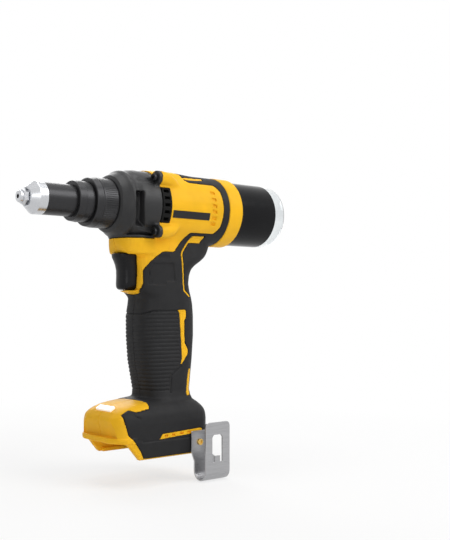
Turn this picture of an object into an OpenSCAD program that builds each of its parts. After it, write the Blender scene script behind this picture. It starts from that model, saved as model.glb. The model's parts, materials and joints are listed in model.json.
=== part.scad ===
// Battery rivet tool, a pistol-shaped puller for blind rivets.
// The nose points along +X, the tool's left side faces +Y, and Z is up.
// The origin is the centre of the mouth of the nosepiece, on the pulling axis.

/* [Nose] */
// Radius of the mandrel hole in the nosepiece
mandrel_r = 2; // [1.2:0.1:2.4]
// Radius of the nosepiece's tip
tip_r = 5.4; // [3.8:0.1:5.6]
// Length of the tip in front of its hexagon
tip_len = 3.2; // [2:0.1:6]
// Width across the flats of the nosepiece's hexagon
hex_flats = 12.5; // [11.5:0.1:14.5]
// Length of the hexagon along the axis
hex_len = 6; // [4:0.1:9]
// Radius of the nose cap and its sleeve
nose_r = 14.9; // [14:0.1:16]
// Length of the steel nose cap that shows
cap_len = 14.8; // [14:0.1:22]
// Length of the black sleeve that shows
sleeve_len = 30; // [24:0.5:42]
// Radius of the sleeve ring, the first step
ring_r = 19.3; // [17.5:0.1:21.5]
// Length of the sleeve ring
ring_len = 16; // [12:0.5:22]
// Radius of the collar nut, the second step
collar_r = 23.3; // [22:0.1:24]
// Length of the collar nut
collar_len = 23; // [17:0.5:25]

/* [Body] */
// Length of the gear case that shows
case_len = 41; // [38:0.5:48]
// Half width of the gear case's square part
case_half_w = 33.5; // [32:0.5:36]
// Radius of the barrel that holds the motor
barrel_r = 34.3; // [33.3:0.1:37]
// Length of the barrel
barrel_len = 85; // [80:0.5:98]
// Thickness of the housing's wall
wall = 3; // [2.4:0.1:3.6]
// Height of the hump on top of the barrel, from the axis
hump_z = 37; // [35.5:0.1:40]
// Radius of the rear ring
rear_ring_r = 35.1; // [34.4:0.1:37]
// Length of the rear ring
rear_ring_len = 17.5; // [14.5:0.5:24]

/* [Bottle] */
// Radius of the collection bottle
bottle_r = 32.8; // [31.8:0.1:35]
// Length of its black sleeve that shows
bottle_len = 48.5; // [30:0.5:80]
// Length of its clear end
clear_len = 15.7; // [11:0.1:26]
// Wall of the bottle
bottle_wall = 1.6; // [1.2:0.1:2.4]
// Turn that frees the bottle from the rear ring, in degrees
bottle_turn = 40; // [30:1:55]

/* [Handle] */
// Drop from the axis to the bottom of the foot
foot_drop = 238; // [228:1:258]
// Depth of the grip from front to back
grip_depth = 62; // [56:0.5:68]
// Width of the grip
grip_width = 46; // [42:0.5:52]
// Length of the foot from front to back
foot_len = 113; // [107:0.5:120]
// Width of the foot
foot_width = 74.4; // [71:0.2:80]
// Height of the battery bay under the foot
bay_h = 16; // [13:0.5:18]
// Width between the two battery rails
rail_gap = 55; // [50:0.5:58]
// Thickness of the rubber overmould
skin = 1.6; // [1.1:0.1:2.2]
// Travel of the trigger
trigger_travel = 6.5; // [4:0.1:8]
// Width of the trigger
trigger_w = 22; // [18:0.5:25]

/* [Belt hook] */
// Width of the hook's plate
hook_w = 30.5; // [25:0.5:36]
// Thickness of the hook's steel
hook_t = 1.6; // [1.2:0.1:2.4]
// Gap between the hook's two legs
hook_gap = 14.9; // [10:0.1:20]

/* [Drive] */
// Stroke of the pulling jaws
stroke = 25; // [20:0.5:30]
// Lead of the pull screw for each turn of its nut
screw_lead = 5; // [4:0.5:6]
// Outer radius of the pull screw's thread
screw_r = 7; // [6.6:0.1:7.4]
// Module of the gear teeth
gear_module = 0.8; // [0.76:0.01:0.84]
// Width of each gear
gear_w = 7.5; // [6:0.1:9]

/* [Hidden] */
$fn = 48;

// Colours
yellow = [0.96, 0.72, 0.08];
black = [0.09, 0.09, 0.10];
dark_grey = [0.24, 0.25, 0.27];
steel = [0.74, 0.75, 0.77];
brass = [0.78, 0.62, 0.28];
copper = [0.72, 0.42, 0.22];

// Clearances
fit = 0.05;
run = 0.35;
seat = 0.1;
slack = 0.5;
eps = 0.01;
far = 400;

// Stations along the axis, from the mouth backwards
cap_mouth_depth = 1.2;
x_cap = -(tip_len + hex_len - cap_mouth_depth);
x_hex_end = -(tip_len + hex_len);
x_sleeve = x_cap - cap_len;
x_ring = x_sleeve - sleeve_len;
x_collar = x_ring - ring_len;
x_case = x_collar - collar_len;
x_body = x_case - case_len;
x_band = x_body - barrel_len;
x_bottle = x_band - rear_ring_len;
x_clear = x_bottle - bottle_len;
x_end = x_clear - clear_len;

// Nose
shank_r = 5;
shank_len = 8.6;
hex_corner_r = hex_flats / 2 / cos(30);
hex_chamfer = 0.9;
cap_mouth_r = hex_corner_r + 1;
cap_rim_r = cap_mouth_r + 1.5;
cap_cone_len = 6.2;
cap_web_len = 7.8;
cap_spigot_len = 8;
sleeve_r = nose_r - 0.25;
sleeve_bore_r = nose_r - 3.4;
spigot_r = nose_r - 1.7;
neck_r = nose_r + 2.7;
collar_lip = 1.4;
flange_len = 3.6;
step_edge = 0.6;
step_rise = 0.9;
ring_cone_len = 7;
collar_cone_len = 6.5;
rib_count = 72;
rib_r = 0.35;
x_neck = x_collar - collar_lip - run - flange_len;

// Pulling head
x_jaw_case = x_cap - cap_mouth_depth - cap_web_len - 2.4;
jaw_case_r = sleeve_bore_r - run;
jaw_len = 16;
jaw_mouth_r = 6;
jaw_cone_r = 8.9;
jaw_gap_deg = 14;
pusher_len = 4.2;
jaw_spring_len = 8.5;
jaw_spring_wire_r = 0.7;
jaw_spring_turns = 4;
jaw_count = 3;
jaw_inset = 1;
screw_spigot_len = 7;
x_jaw_end = x_jaw_case - jaw_inset - jaw_len;
x_pusher_end = x_jaw_end - seat - pusher_len;
x_spigot = x_pusher_end - jaw_spring_len;
x_jaw_case_end = x_spigot - screw_spigot_len;
screw_neck_r = screw_r - 0.1;
screw_bore_r = 3.4;
tube_r = 4.2;
tube_bore_r = 3.3;
key_len = 3;
key_half_w = 3;
key_r = sleeve_bore_r + 1.6;
x_key = x_neck - 1;
x_slot_end = x_key - key_len - stroke - 1;

// Nut and gears
x_thrust = x_slot_end - slack;
thrust_len = 4;
nut_flange_len = 3;
nut_len = 21;
nut_r = 15;
nut_flange_r = 18;
nut_bearing_r = 21;
nut_bearing_len = 7;
x_nut = x_thrust - thrust_len - run;
x_nut_bearing = x_nut - nut_flange_len - seat;
x_nut_end = x_nut - nut_len;
ball_r = 1;
ball_pitch_r = screw_r + 0.3;
ball_race_r = ball_pitch_r + ball_r + 0.2;
balls_per_turn = 12;
ball_turns = 2;
ball_race_len = screw_lead * ball_turns + 2 * ball_r + 1;
thread_throw = 0.75;
thread_sides = 14;
thread_slices = 10;
sun_teeth = 26;
planet_teeth = 13;
planets = 3;
ring_teeth = sun_teeth + 2 * planet_teeth;
pressure_angle = 20;
addendum = 0.8;
dedendum = 1.05;
backlash = 0.09;
arm_r = gear_module * (sun_teeth + planet_teeth) / 2;
hollow_r = screw_r + 0.45;
carrier_r = gear_module * ring_teeth / 2 - 1.8;
carrier_len = 3.5;
pin_r = 2;
ring_gear_r = gear_module * ring_teeth / 2 + 4.2;
x_out_carrier = x_nut_end - seat;
x_out_gears = x_out_carrier - carrier_len - slack;
x_mid_carrier = x_out_gears - gear_w - slack;
x_in_gears = x_mid_carrier - carrier_len - slack;
x_gears_end = x_in_gears - gear_w - slack;
x_ring_gear = x_out_carrier - carrier_len;

// Motor
plate_len = 6.5;
plate_lip = 1.2;
bearing_in_r = 8.5;
bearing_out_r = 13;
bearing_len = 5;
bearing_ring_share = 0.3;
bearing_ball_share = 0.24;
shaft_bore_r = tube_r + 0.6;
stator_r = 25.5;
stator_teeth = 9;
stator_tooth_half_w = 1.6;
stator_yoke = 3.5;
air_gap = 0.7;
coil_half_w = 3.8;
coil_end = 2;
rotor_r = 14;
coil_in_r = rotor_r + 2.2;
coil_out_r = stator_r - stator_yoke - 0.8;
fan_len = 7;
fan_r = 22;
fan_blades = 11;
fan_plate_t = 1.4;
fan_blade_t = 1.4;
fan_hub_t = 2.5;
x_plate = x_gears_end - slack;
x_plate_end = x_plate - plate_len;
x_rear_bearing = x_band + 9;
x_fan_end = x_rear_bearing + 3;
x_fan = x_fan_end + fan_len;
x_stator = x_plate_end - 5;
x_stator_end = x_fan + 5;
x_tube = x_nut_end + 3;

// Gear case
neck_bore_r = sleeve_bore_r;
case_bottom_z = -31.6;
case_gap = 0.4;
case_recess = [10, 7, 34];
case_recess_gap = 0.5;
ear_r = 6.6;
ear_len = 32;
ear_web_step = 0.4;
case_r = barrel_r - 0.3;
case_pad_z = [-10, 8];
case_front_r = 24.2;
case_flare_len = 10;
case_block_len = 20;
case_sleeve_r = ring_gear_r + 3.2;
case_screw_y = case_half_w - 5;
case_screw_z = [25, -26];
case_screw_r = 2;
case_head_r = 3.6;
case_head_len = 3;
case_flange_len = 4;
case_screw_len = 15;
case_socket_r = 1.8;

// Hump on the barrel
hump_base_z = 20;
hump_half_w = 18;

// Rear ring and bottle lock
ring_mouth_r = rear_ring_r - 3.6;
lock_groove_r = rear_ring_r - 1.9;
lug_r = lock_groove_r - run;
lug_len = 2.6;
lug_deg = 18;
lug_room_deg = 6;
lug_count = 3;
web_len = 3.6;
seal_len = 1.6;
x_seal = x_band - web_len;
x_bottle_front = x_seal - seal_len - seat;
x_lug = x_bottle_front - 2.8;
bottle_neck_r = ring_mouth_r - run;
seal_inset = 0.8;
seal_w = 2.8;
clear_round = 5;
clear_spigot_len = 7;
clear_wall = 2.4;

// Handle
z_foot = -foot_drop;
z_bay = z_foot + bay_h;
bay_roof = 4.5;
rail_h = 3.6;
z_chin = -47.5;
z_lip = -81.3;
lip_len = 4.8;
x_chin = x_body + 30.6;
x_grip = x_body - 23.2;
x_grip_front = x_grip + grip_depth / 2;
x_grip_back = x_grip - grip_depth / 2;
foot_reach = 74.5;
x_foot_front = x_grip + foot_reach;
x_tang = x_band + 8.8;
x_foot_back = x_foot_front - foot_len;
half_grip = grip_width / 2;
half_foot = foot_width / 2;
chin_half_w = half_grip - 1;
chin_top_z = -24;
chin_back = 20;
ring_points = 36;

// Trigger
trigger_z = [z_lip + 0.6, z_chin - 0.6];
x_trigger = x_grip_front + 20;
x_trigger_back = x_trigger - 17.5;
x_lip = x_trigger - 9.5;
lip_half_w = trigger_w / 2 + 3;
trigger_hollow_r = 60;
trigger_hollow_z = -71;
trigger_hollow = 3.6;
trigger_nose_r = trigger_w / 2 + 2;
trigger_pocket = 8;
trigger_side = 0.5;
trigger_wall = 2.4;
plunger_z = -62;
plunger_r = 2.5;
plunger_len = 9;
spring_r = 4.2;
spring_wire_r = 0.6;
spring_turns = 5;
x_switch = x_trigger_back - trigger_travel - 1.2;
switch_len = 24;
switch_half_w = 10.5;
switch_z = [-83, -51];

// Inside the grip and the foot
module_x = [x_grip - 17, x_grip + 17];
module_z = [z_foot + 78, z_foot + 140];
module_half_w = 10;
module_rib_z = [z_foot + 88, z_foot + 126];
module_rib_inset = 4;
switch_rib_inset = 3;
switch_rib_z = -68;
grip_rib_t = 3;
lead_r = 1.6;
lead_pitch = 5;
block_half_w = 21;
blade_count = 5;
blade_pitch = 8;
blade_size = [12, 0.9, 8];
blade_slot = [14, 3.2, 9];
bay_half_w = half_foot - 6.2;
x_bay_back = x_foot_back + 15;
block_x = [x_bay_back + 3.5, x_grip + 28];
block_z = [z_foot + 5.5, z_foot + 35];

// Work light
light_at = [x_foot_front - 10.2, 0, z_foot + 45.7];
light_tilt = 30;
light_size = [6, 24, 3];
light_board_t = 1.6;

// Belt hook
hook_x = [x_foot_back - 3.8, x_foot_back - 3.8 + hook_w];
hook_y = half_foot + 0.3;
hook_top_z = z_foot + 31;
hook_tab_top_z = z_foot + 22;
hook_bend_z = z_foot - 16;
hook_tab_x = [hook_x[1] - 14.5, hook_x[1] + 3.5];
hook_tab_z = z_foot + 4;
hook_leg_z = z_foot - 7;
hook_screw_at = [hook_x[1] - 6.6, z_foot + 11];
hook_screw_r = 2;
hook_head_r = 3;
hook_head_len = 1.3;
hook_socket_r = 1.6;
hook_corner = 5;
hook_screw_depth = 5.4;
hook_window_x = [hook_x[0] + 9.5, hook_x[1] - 8.5];
hook_window_z = [z_foot - 7, z_foot + 19];

// Housing screws, as places in the X and Z plane
screw_places = [
    [x_grip + 14, -41], [x_grip - 34, -40], [x_grip - 20, -82], [x_grip + 22, -92],
    [x_grip + 14, z_foot + 66], [x_grip - 17, z_foot + 66],
    [x_foot_front - 30.5, z_foot + 32], [x_foot_back + 9.5, z_foot + 29]
];
boss_r = 4;
pilot_r = 1.5;
head_r = 3;
head_len = 2.6;
screw_head_y = 12;
screw_tip_y = 11;
socket_r = 1.5;
socket_depth = 1.4;

// Vents
vent_x = [x_body - 11.5, x_body - 1.2];
vent_z = [-17, 16];
vent_t = 2.4;
vent_depth = 19;
vent_slot = [6.5, 20, 3];
vent_slots = 5;
exhaust_x = x_band + 19.5;
exhaust_z = [-14, -9, -3, 3, 9, 16];
exhaust_slot = [2.6, 20, 2.6];
label_x = [x_band + 26, x_body - 13.5];
label_z = [-12, -5];
label_t = 0.5;

// Shapes that several pieces share

// Solid turned about the axis, from points of station and radius
module turned(points) {
    rotate([0, 90, 0])
        rotate_extrude($fn = 96)
            polygon([for (p = points) [p[1], p[0]]]);
}

// Rod along the axis between two stations
module rod_x(back, front, r) {
    translate([back, 0, 0])
        rotate([0, 90, 0])
            cylinder(h = front - back, r = r, $fn = 96);
}

// Tube along the axis between two stations
module tube_x(back, front, r, bore) {
    difference() {
        rod_x(back, front, r);
        rod_x(back - 1, front + 1, bore);
    }
}

// Outline in the X and Z plane, thick along Y
module slab_y(points, y0, y1) {
    translate([0, y1, 0])
        rotate([90, 0, 0])
            linear_extrude(y1 - y0)
                polygon(points);
}

// Rod along Y at a place in the X and Z plane
module rod_y(at, y0, y1, r) {
    translate([at[0], y1, at[1]])
        rotate([90, 0, 0])
            cylinder(h = y1 - y0, r = r);
}

// Block between two corners
module block(low, high) {
    translate(low)
        cube(high - low);
}

// Flat shape in the Y and Z plane, thick along X
module slab_x(back, front) {
    translate([back, 0, 0])
        rotate([90, 0, 90])
            linear_extrude(front - back)
                children();
}

// Half of space on the left (side 1) or the right (side -1) of the middle plane
module half_space(side) {
    translate([-far, side > 0 ? eps : -far - eps, -far])
        cube([2 * far, far, 2 * far]);
}

// Signed power, for rounded sections
function signed_power(v, p) = sign(v) * pow(abs(v), p);

// One ring of points of a rounded section: [z, front, back, half width, squareness]
function section_ring(s, grow) = [
    for (i = [0 : ring_points - 1])
        let (a = 360 * i / ring_points)
        [
            (s[1] + s[2]) / 2 + ((s[1] - s[2]) / 2 + grow) * signed_power(cos(a), 2 / s[4]),
            (s[3] + grow) * signed_power(sin(a), 2 / s[4]),
            s[0]
        ]
];

// Closed solid through a stack of sections
module stack_solid(sections, grow) {
    rings = len(sections);
    points = [for (s = sections) each section_ring(s, grow)];
    sides = [
        for (k = [0 : rings - 2], i = [0 : ring_points - 1])
            let (j = (i + 1) % ring_points)
            each [
                [k * ring_points + i, k * ring_points + j, (k + 1) * ring_points + j],
                [k * ring_points + i, (k + 1) * ring_points + j, (k + 1) * ring_points + i]
            ]
    ];
    top = [for (i = [ring_points - 1 : -1 : 0]) i];
    bottom = [for (i = [0 : ring_points - 1]) (rings - 1) * ring_points + i];
    polyhedron(points, concat(sides, [top, bottom]));
}

// Handle and foot, from the tang behind the barrel down to the bottom of the skirts
handle_sections = [
    [-20, x_grip_front + 6, x_tang, half_grip - 5, 3],
    [-32, x_grip_front + 6, x_tang + 0.5, half_grip - 4, 3],
    [-42, x_grip_front + 6, x_tang + 5, half_grip - 2.5, 3],
    [-49, x_grip_front + 6, x_tang + 11.5, half_grip - 1.5, 3.2],
    [-56, x_grip_front + 6, x_grip_back - 2.5, half_grip - 1, 3.2],
    [-63, x_grip_front + 6, x_grip_back + 2.5, half_grip - 1, 3.2],
    [-74, x_grip_front + 6, x_grip_back + 3.5, half_grip - 1, 3.2],
    [-85, x_grip_front + 4, x_grip_back + 2, half_grip - 0.6, 3.3],
    [-91, x_grip_front, x_grip_back + 0.4, half_grip - 0.3, 3.4],
    [-105, x_grip_front + 1, x_grip_back - 1, half_grip, 3.4],
    [-125, x_grip_front + 0.8, x_grip_back - 1.2, half_grip, 3.4],
    [-148, x_grip_front - 1.2, x_grip_back + 0.8, half_grip, 3.4],
    [z_foot + 73, x_grip_front - 4.5, x_grip_back + 3, half_grip - 0.3, 3.4],
    [z_foot + 60, x_grip_front - 6, x_grip_back + 4.8, half_grip - 0.2, 3.4],
    [z_foot + 54, x_grip_front - 3.5, x_grip_back + 4, half_grip + 1.4, 3.5],
    [z_foot + 51, x_foot_front - 24.5, x_foot_back + 13, half_foot - 11, 3.8],
    [z_foot + 48.5, x_foot_front - 14, x_foot_back + 10, half_foot - 7.5, 4],
    [z_foot + 44, x_foot_front - 6.2, x_foot_back + 5, half_foot - 3.4, 4.8],
    [z_foot + 39, x_foot_front - 1.8, x_foot_back + 1.3, half_foot - 1, 5.8],
    [z_foot + 33, x_foot_front, x_foot_back, half_foot, 6.5],
    [z_foot + 16, x_foot_front, x_foot_back, half_foot, 6.5],
    [z_foot, x_foot_front - 1, x_foot_back, half_foot, 6.5]
];

// Chin under the gear case, in front of and above the trigger
module chin_solid(grow) {
    intersection() {
        slab_y([
            [x_body - chin_back, chin_top_z], [x_body - eps, chin_top_z],
            [x_body - eps, case_bottom_z - case_gap],
            [x_chin + grow, case_bottom_z - case_gap], [x_chin - 0.6 + grow, -38],
            [x_chin - 2.8 + grow, -45], [x_chin - 5.5 + grow, z_chin - grow],
            [x_body - chin_back, z_chin - grow]
        ], -far, far);
        translate([0, 0, -far])
            linear_extrude(2 * far)
                union() {
                    translate([x_chin - chin_half_w, 0])
                        circle(chin_half_w + grow, $fn = 96);
                    translate([x_body - 40, -chin_half_w - grow])
                        square([x_chin - chin_half_w - x_body + 40, 2 * (chin_half_w + grow)]);
                }
    }
}

// Lip under the trigger
module lip_solid() {
    translate([0, 0, z_lip - lip_len])
        linear_extrude(lip_len)
            union() {
                translate([x_lip - lip_half_w, 0])
                    circle(lip_half_w);
                translate([x_grip_front - 10, -lip_half_w])
                    square([x_lip - lip_half_w - x_grip_front + 10, 2 * lip_half_w]);
            }
}

// Ears round the four gear case screws, as a flat shape
module ear_outline(r) {
    for (y = [-case_screw_y, case_screw_y], z = case_screw_z) {
        translate([y, z])
            circle(r);
        rotate(atan2(z, y))
            translate([0, ear_web_step - r])
                square([norm([y, z]), 2 * (r - ear_web_step)]);
    }
}

// Ears at the front of the barrel, which fade into it towards the back
module barrel_ears(grow) {
    intersection() {
        slab_x(x_body - ear_len, x_body - seat)
            ear_outline(ear_r + grow);
        translate([x_body - ear_len, 0, 0])
            rotate([0, 90, 0])
                cylinder(h = ear_len, r1 = barrel_r - 2 + grow, r2 = barrel_r + 13 + grow, $fn = 96);
    }
}

// Hump on top of the barrel
module hump_solid(grow) {
    intersection() {
        slab_y([
            [x_body - seat, hump_base_z], [x_body - seat, case_r], [x_body - 12, hump_z + grow],
            [x_body - 35, hump_z + grow], [x_body - 46, barrel_r - 0.5 + grow],
            [x_body - 50, hump_base_z]
        ], -hump_half_w, hump_half_w);
        rod_x(x_band, x_body, hump_z + grow);
    }
}

// Whole outside of the housing with its overmould
module outer_solid(grow) {
    rod_x(x_band, x_body - seat, barrel_r + grow);
    barrel_ears(grow);
    hump_solid(grow);
    chin_solid(grow);
    lip_solid();
    stack_solid(handle_sections, grow);
}

// Where the black overmould lies, seen from the side
module black_region(spread) {
    difference() {
        translate([0, far, 0])
            rotate([90, 0, 0])
                linear_extrude(2 * far)
                    offset(delta = spread)
                        black_outline();
        block(
            [x_foot_front - 35 - spread, -half_foot + 9 + spread, z_foot + 28 - spread],
            [far, half_foot - 9 - spread, z_foot + 58]
        );
    }
}

// Outline of the overmould in the X and Z plane
module black_outline() {
    polygon([
        [x_grip_front + 30, z_lip - lip_len - 1.4], [x_grip_front + 8, z_lip - lip_len],
        [x_grip_front + 8, -62], [x_grip_front + 2, -57], [x_grip_front - 8, -51],
        [x_grip_front - 13, -45.5], [x_grip_front - 30, -43.5],
        [x_grip_front - 37, -36], [x_grip_front - 42, -29], [x_grip_front - 50, -24],
        [x_band + 14, -24], [x_band + 9, -17], [x_band + 8, 0], [x_band + 9, 17],
        [x_band + 14, 24], [x_body - 40, 24], [x_body - 36, 27], [x_body - 33, far],
        [x_band + 0.2, far], [x_band + 0.2, -46], [x_foot_back - 20, z_foot + 68],
        [x_foot_back - 20, z_foot - 1], [x_foot_front - 28, z_foot - 1],
        [x_foot_front - 26, z_foot + 7], [x_foot_front - 19, z_foot + 18],
        [x_foot_front - 11, z_foot + 25], [x_foot_front - 7, z_foot + 37],
        [x_foot_front - 9, z_foot + 47], [x_foot_front - 19, z_foot + 45],
        [x_foot_front - 34, z_foot + 47.5], [x_foot_front - 36, z_foot + 56],
        [x_grip_front + 30, z_foot + 62]
    ]);
}

// Battery bay under the foot, open to the front and below
module bay_space() {
    block([x_bay_back, -bay_half_w, z_foot - 5], [x_foot_front + 20, bay_half_w, z_bay]);
    slab_y([
        [x_foot_front - 8, z_bay], [x_foot_front - 23, z_foot - 1],
        [x_foot_front + 20, z_foot - 1], [x_foot_front + 20, z_bay]
    ], -far, far);
}

// Rails that the battery slides on
module battery_rails() {
    for (side = [-1, 1])
        block(
            [x_bay_back - 1, side > 0 ? rail_gap / 2 : -bay_half_w - 1, z_foot],
            [x_foot_front - 26, side > 0 ? bay_half_w + 1 : -rail_gap / 2, z_foot + rail_h]
        );
}

// Space inside the housing
module inside_space() {
    rod_x(x_band - 1, x_body + 1, barrel_r - wall);
    intersection() {
        stack_solid(handle_sections, -skin - wall);
        block([-far, -far, z_bay + bay_roof], [far, far, handle_sections[0][0]]);
    }
    block([x_plate_end - 6, -chin_half_w + 6, -46], [x_grip_front - 4, chin_half_w - 6, -20]);
}

// Opening for the trigger
module trigger_space() {
    block(
        [x_trigger_back - trigger_travel - 0.6, -trigger_w / 2 - trigger_side, z_lip],
        [x_grip_front + 30, trigger_w / 2 + trigger_side, z_chin]
    );
}

// Space for the gear case's sleeve
module sleeve_space() {
    rod_x(x_plate_end - slack, x_body + 1, case_sleeve_r + seat);
}

// Opening for the terminal block
module block_space() {
    block(
        [block_x[0] - seat, -block_half_w - seat, z_foot - 1],
        [block_x[1] + seat, block_half_w + seat, block_z[1] + 1]
    );
}

// Work light, laid on the slope of the foot's front edge
module light_place() {
    translate(light_at)
        rotate([0, light_tilt, 0])
            children();
}

// Ribs inside the barrel that hold the stator and the gear case's sleeve
module barrel_ribs() {
    for (x = [x_stator - 2, x_stator_end + 5])
        tube_x(x - 3, x, barrel_r - wall + 0.5, stator_r + seat);
    tube_x(x_plate_end + 4, x_plate_end + 7, barrel_r - wall + 0.5, case_sleeve_r + seat);
}

// Ribs inside the grip that hold the control module and the switch
module grip_ribs() {
    intersection() {
        stack_solid(handle_sections, -skin - 0.2);
        union() {
            for (z = module_rib_z, side = [-1, 1])
                block(
                    [
                        module_x[0] + module_rib_inset,
                        side > 0 ? module_half_w + seat : -half_grip,
                        z
                    ],
                    [
                        module_x[1] - module_rib_inset,
                        side > 0 ? half_grip : -module_half_w - seat,
                        z + grip_rib_t
                    ]
                );
            for (side = [-1, 1])
                block(
                    [
                        x_switch - switch_len + switch_rib_inset,
                        side > 0 ? switch_half_w + seat : -half_grip,
                        switch_rib_z
                    ],
                    [
                        x_switch - switch_rib_inset,
                        side > 0 ? half_grip : -switch_half_w - seat,
                        switch_rib_z + grip_rib_t
                    ]
                );
        }
    }
}

// One housing half with its bosses, openings and screw holes
module housing_half(side) {
    intersection() {
        half_space(side);
        difference() {
            union() {
                difference() {
                    outer_solid(0);
                    inside_space();
                    intersection() {
                        difference() {
                            outer_solid(1);
                            outer_solid(-skin);
                        }
                        black_region(0);
                    }
                }
                intersection() {
                    outer_solid(-skin - 0.2);
                    union() {
                        for (p = screw_places)
                            rod_y(p, -far, far, boss_r);
                    }
                }
                barrel_ribs();
                grip_ribs();
            }
            bay_space();
            trigger_space();
            block_space();
            block([x_body - seat, -far, case_bottom_z - case_gap], [far, far, far]);
            sleeve_space();
            light_place()
                cube(light_size + [2 * seat, 2 * seat, 8], center = true);
            for (p = screw_places) {
                rod_y(p, -far, -screw_head_y, head_r + 0.3);
                rod_y(p, -far, 0, pilot_r + 0.3);
                rod_y(p, -eps, screw_tip_y + 1, pilot_r + fit);
            }
            for (y = [-case_screw_y, case_screw_y], z = case_screw_z)
                translate([x_body - 14, y, z])
                    rotate([0, 90, 0])
                        cylinder(h = 20, r = case_screw_r + fit);
            for (s = [-1, 1]) {
                vent_block(s, seat);
                for (z = exhaust_z)
                    translate([exhaust_x, s * barrel_r, z])
                        cube(exhaust_slot, center = true);
            }
            rod_y(hook_screw_at, half_foot - hook_screw_depth - 0.4, half_foot + 5, hook_screw_r + fit);
        }
    }
}

// Vent insert's block, grown by a clearance
module vent_block(side, grow) {
    intersection() {
        block(
            [vent_x[0] - grow, side > 0 ? barrel_r - vent_depth : -far, vent_z[0] - grow],
            [vent_x[1] + grow, side > 0 ? far : vent_depth - barrel_r, vent_z[1] + grow]
        );
        rod_x(x_band, x_body, barrel_r + 4 * grow);
    }
}

// Vent insert with its slots
module vent_insert(side) {
    difference() {
        vent_block(side, 0);
        rod_x(x_band, x_body + 1, barrel_r - vent_t);
        sleeve_space();
        for (i = [0 : vent_slots - 1])
            translate([
                (vent_x[0] + vent_x[1]) / 2, side * barrel_r,
                vent_z[0] + (i + 0.5) * (vent_z[1] - vent_z[0]) / vent_slots
            ])
                cube(vent_slot, center = true);
    }
}

// Overmould of one side
module grip_skin(side) {
    intersection() {
        half_space(side);
        difference() {
            outer_solid(0);
            outer_solid(-skin + fit);
            bay_space();
            trigger_space();
            block_space();
            rod_x(x_band - 1, x_body + 1, barrel_r - wall);
            for (p = screw_places)
                rod_y(p, -far, -screw_head_y, head_r + 0.4);
            rod_y(hook_screw_at, 0, far, hook_screw_r + 1);
        }
        black_region(-fit);
    }
}

// Blank label, a thin curved plate
module label_plate(side) {
    intersection() {
        tube_x(label_x[0], label_x[1], barrel_r + label_t, barrel_r + fit);
        block(
            [label_x[0], side > 0 ? 0 : -far, label_z[0]],
            [label_x[1], side > 0 ? far : 0, label_z[1]]
        );
    }
}

// Gear teeth

// Involute roll angle at a radius, in degrees
function involute(base, r) =
    r <= base ? 0 : sqrt(pow(r / base, 2) - 1) * 180 / PI - acos(base / r);

// Outline of a gear with one tooth on the X axis
function gear_points(teeth, outer, root, thicken) =
    let (
        pitch = gear_module * teeth / 2,
        base = pitch * cos(pressure_angle),
        half = 90 / teeth + thicken / pitch * 180 / PI,
        inner = max(base, root),
        steps = [root, inner, (2 * inner + outer) / 3, (inner + 2 * outer) / 3, outer],
        angles = [for (r = steps) half + involute(base, pitch) - involute(base, r)]
    )
    [
        for (t = [0 : teeth - 1])
            let (middle = 360 * t / teeth)
            each concat(
                [for (i = [0 : 4]) steps[i] * [cos(middle - angles[i]), sin(middle - angles[i])]],
                [for (i = [4 : -1 : 0]) steps[i] * [cos(middle + angles[i]), sin(middle + angles[i])]]
            )
    ];

// Outside gear on the axis between two stations
module gear_x(back, front, teeth) {
    pitch = gear_module * teeth / 2;
    translate([back, 0, 0])
        rotate([0, 90, 0])
            linear_extrude(front - back)
                polygon(gear_points(teeth, pitch + addendum * gear_module,
                    pitch - dedendum * gear_module, -backlash));
}

// One planet gear, turned so that it meshes with the sun and the ring
module planet_gear(index, front) {
    place = 360 * index / planets;
    turn = 180 + 180 / planet_teeth + place * (1 + sun_teeth / planet_teeth);
    rotate([place, 0, 0])
        translate([0, 0, -arm_r])
            rotate([turn - place, 0, 0])
                difference() {
                    gear_x(front - gear_w, front, planet_teeth);
                    rod_x(front - gear_w - 1, front + 1, pin_r + fit);
                }
}

// Carrier plate with its pins, the pins pointing back
module carrier_plate(front) {
    difference() {
        union() {
            rod_x(front - carrier_len, front, carrier_r);
            for (i = [0 : planets - 1])
                rotate([360 * i / planets, 0, 0])
                    translate([0, 0, -arm_r])
                        rod_x(front - carrier_len - slack - gear_w, front - carrier_len, pin_r);
        }
        rod_x(front - carrier_len - 1, front + 1, hollow_r);
    }
}

// Ball bearing with its two rings and its balls as one piece
module bearing_x(back, len, inner, outer) {
    ring_t = (outer - inner) * bearing_ring_share;
    ball = (outer - inner) * bearing_ball_share;
    tube_x(back, back + len, inner + ring_t, inner);
    tube_x(back, back + len, outer, outer - ring_t);
    tube_x(back + len / 2 - ball, back + len / 2 + ball, outer - ring_t + 0.2, inner + ring_t - 0.2);
}

// Pieces of the nose

module nosepiece() {
    color(steel)
        difference() {
            union() {
                turned([
                    [0, 0], [0, tip_r - 0.8], [-0.8, tip_r], [-tip_len - 0.5, tip_r], [-tip_len - 0.5, 0]
                ]);
                intersection() {
                    translate([-tip_len - hex_len, 0, 0])
                        rotate([0, 90, 0])
                            cylinder(h = hex_len, r = hex_corner_r, $fn = 6);
                    turned([
                        [-tip_len, 0], [-tip_len, hex_flats / 2], [-tip_len - hex_chamfer, hex_corner_r],
                        [x_hex_end, hex_corner_r], [x_hex_end, 0]
                    ]);
                }
                rod_x(x_hex_end - shank_len, x_hex_end + 1, shank_r - fit);
            }
            rod_x(x_hex_end - shank_len - 1, 1, mandrel_r);
            turned([
                [x_hex_end - shank_len - eps, 0], [x_hex_end - shank_len - eps, 3.4],
                [x_hex_end - shank_len + 2.5, mandrel_r - eps], [x_hex_end - shank_len + 2.5, 0]
            ]);
        }
}

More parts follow.
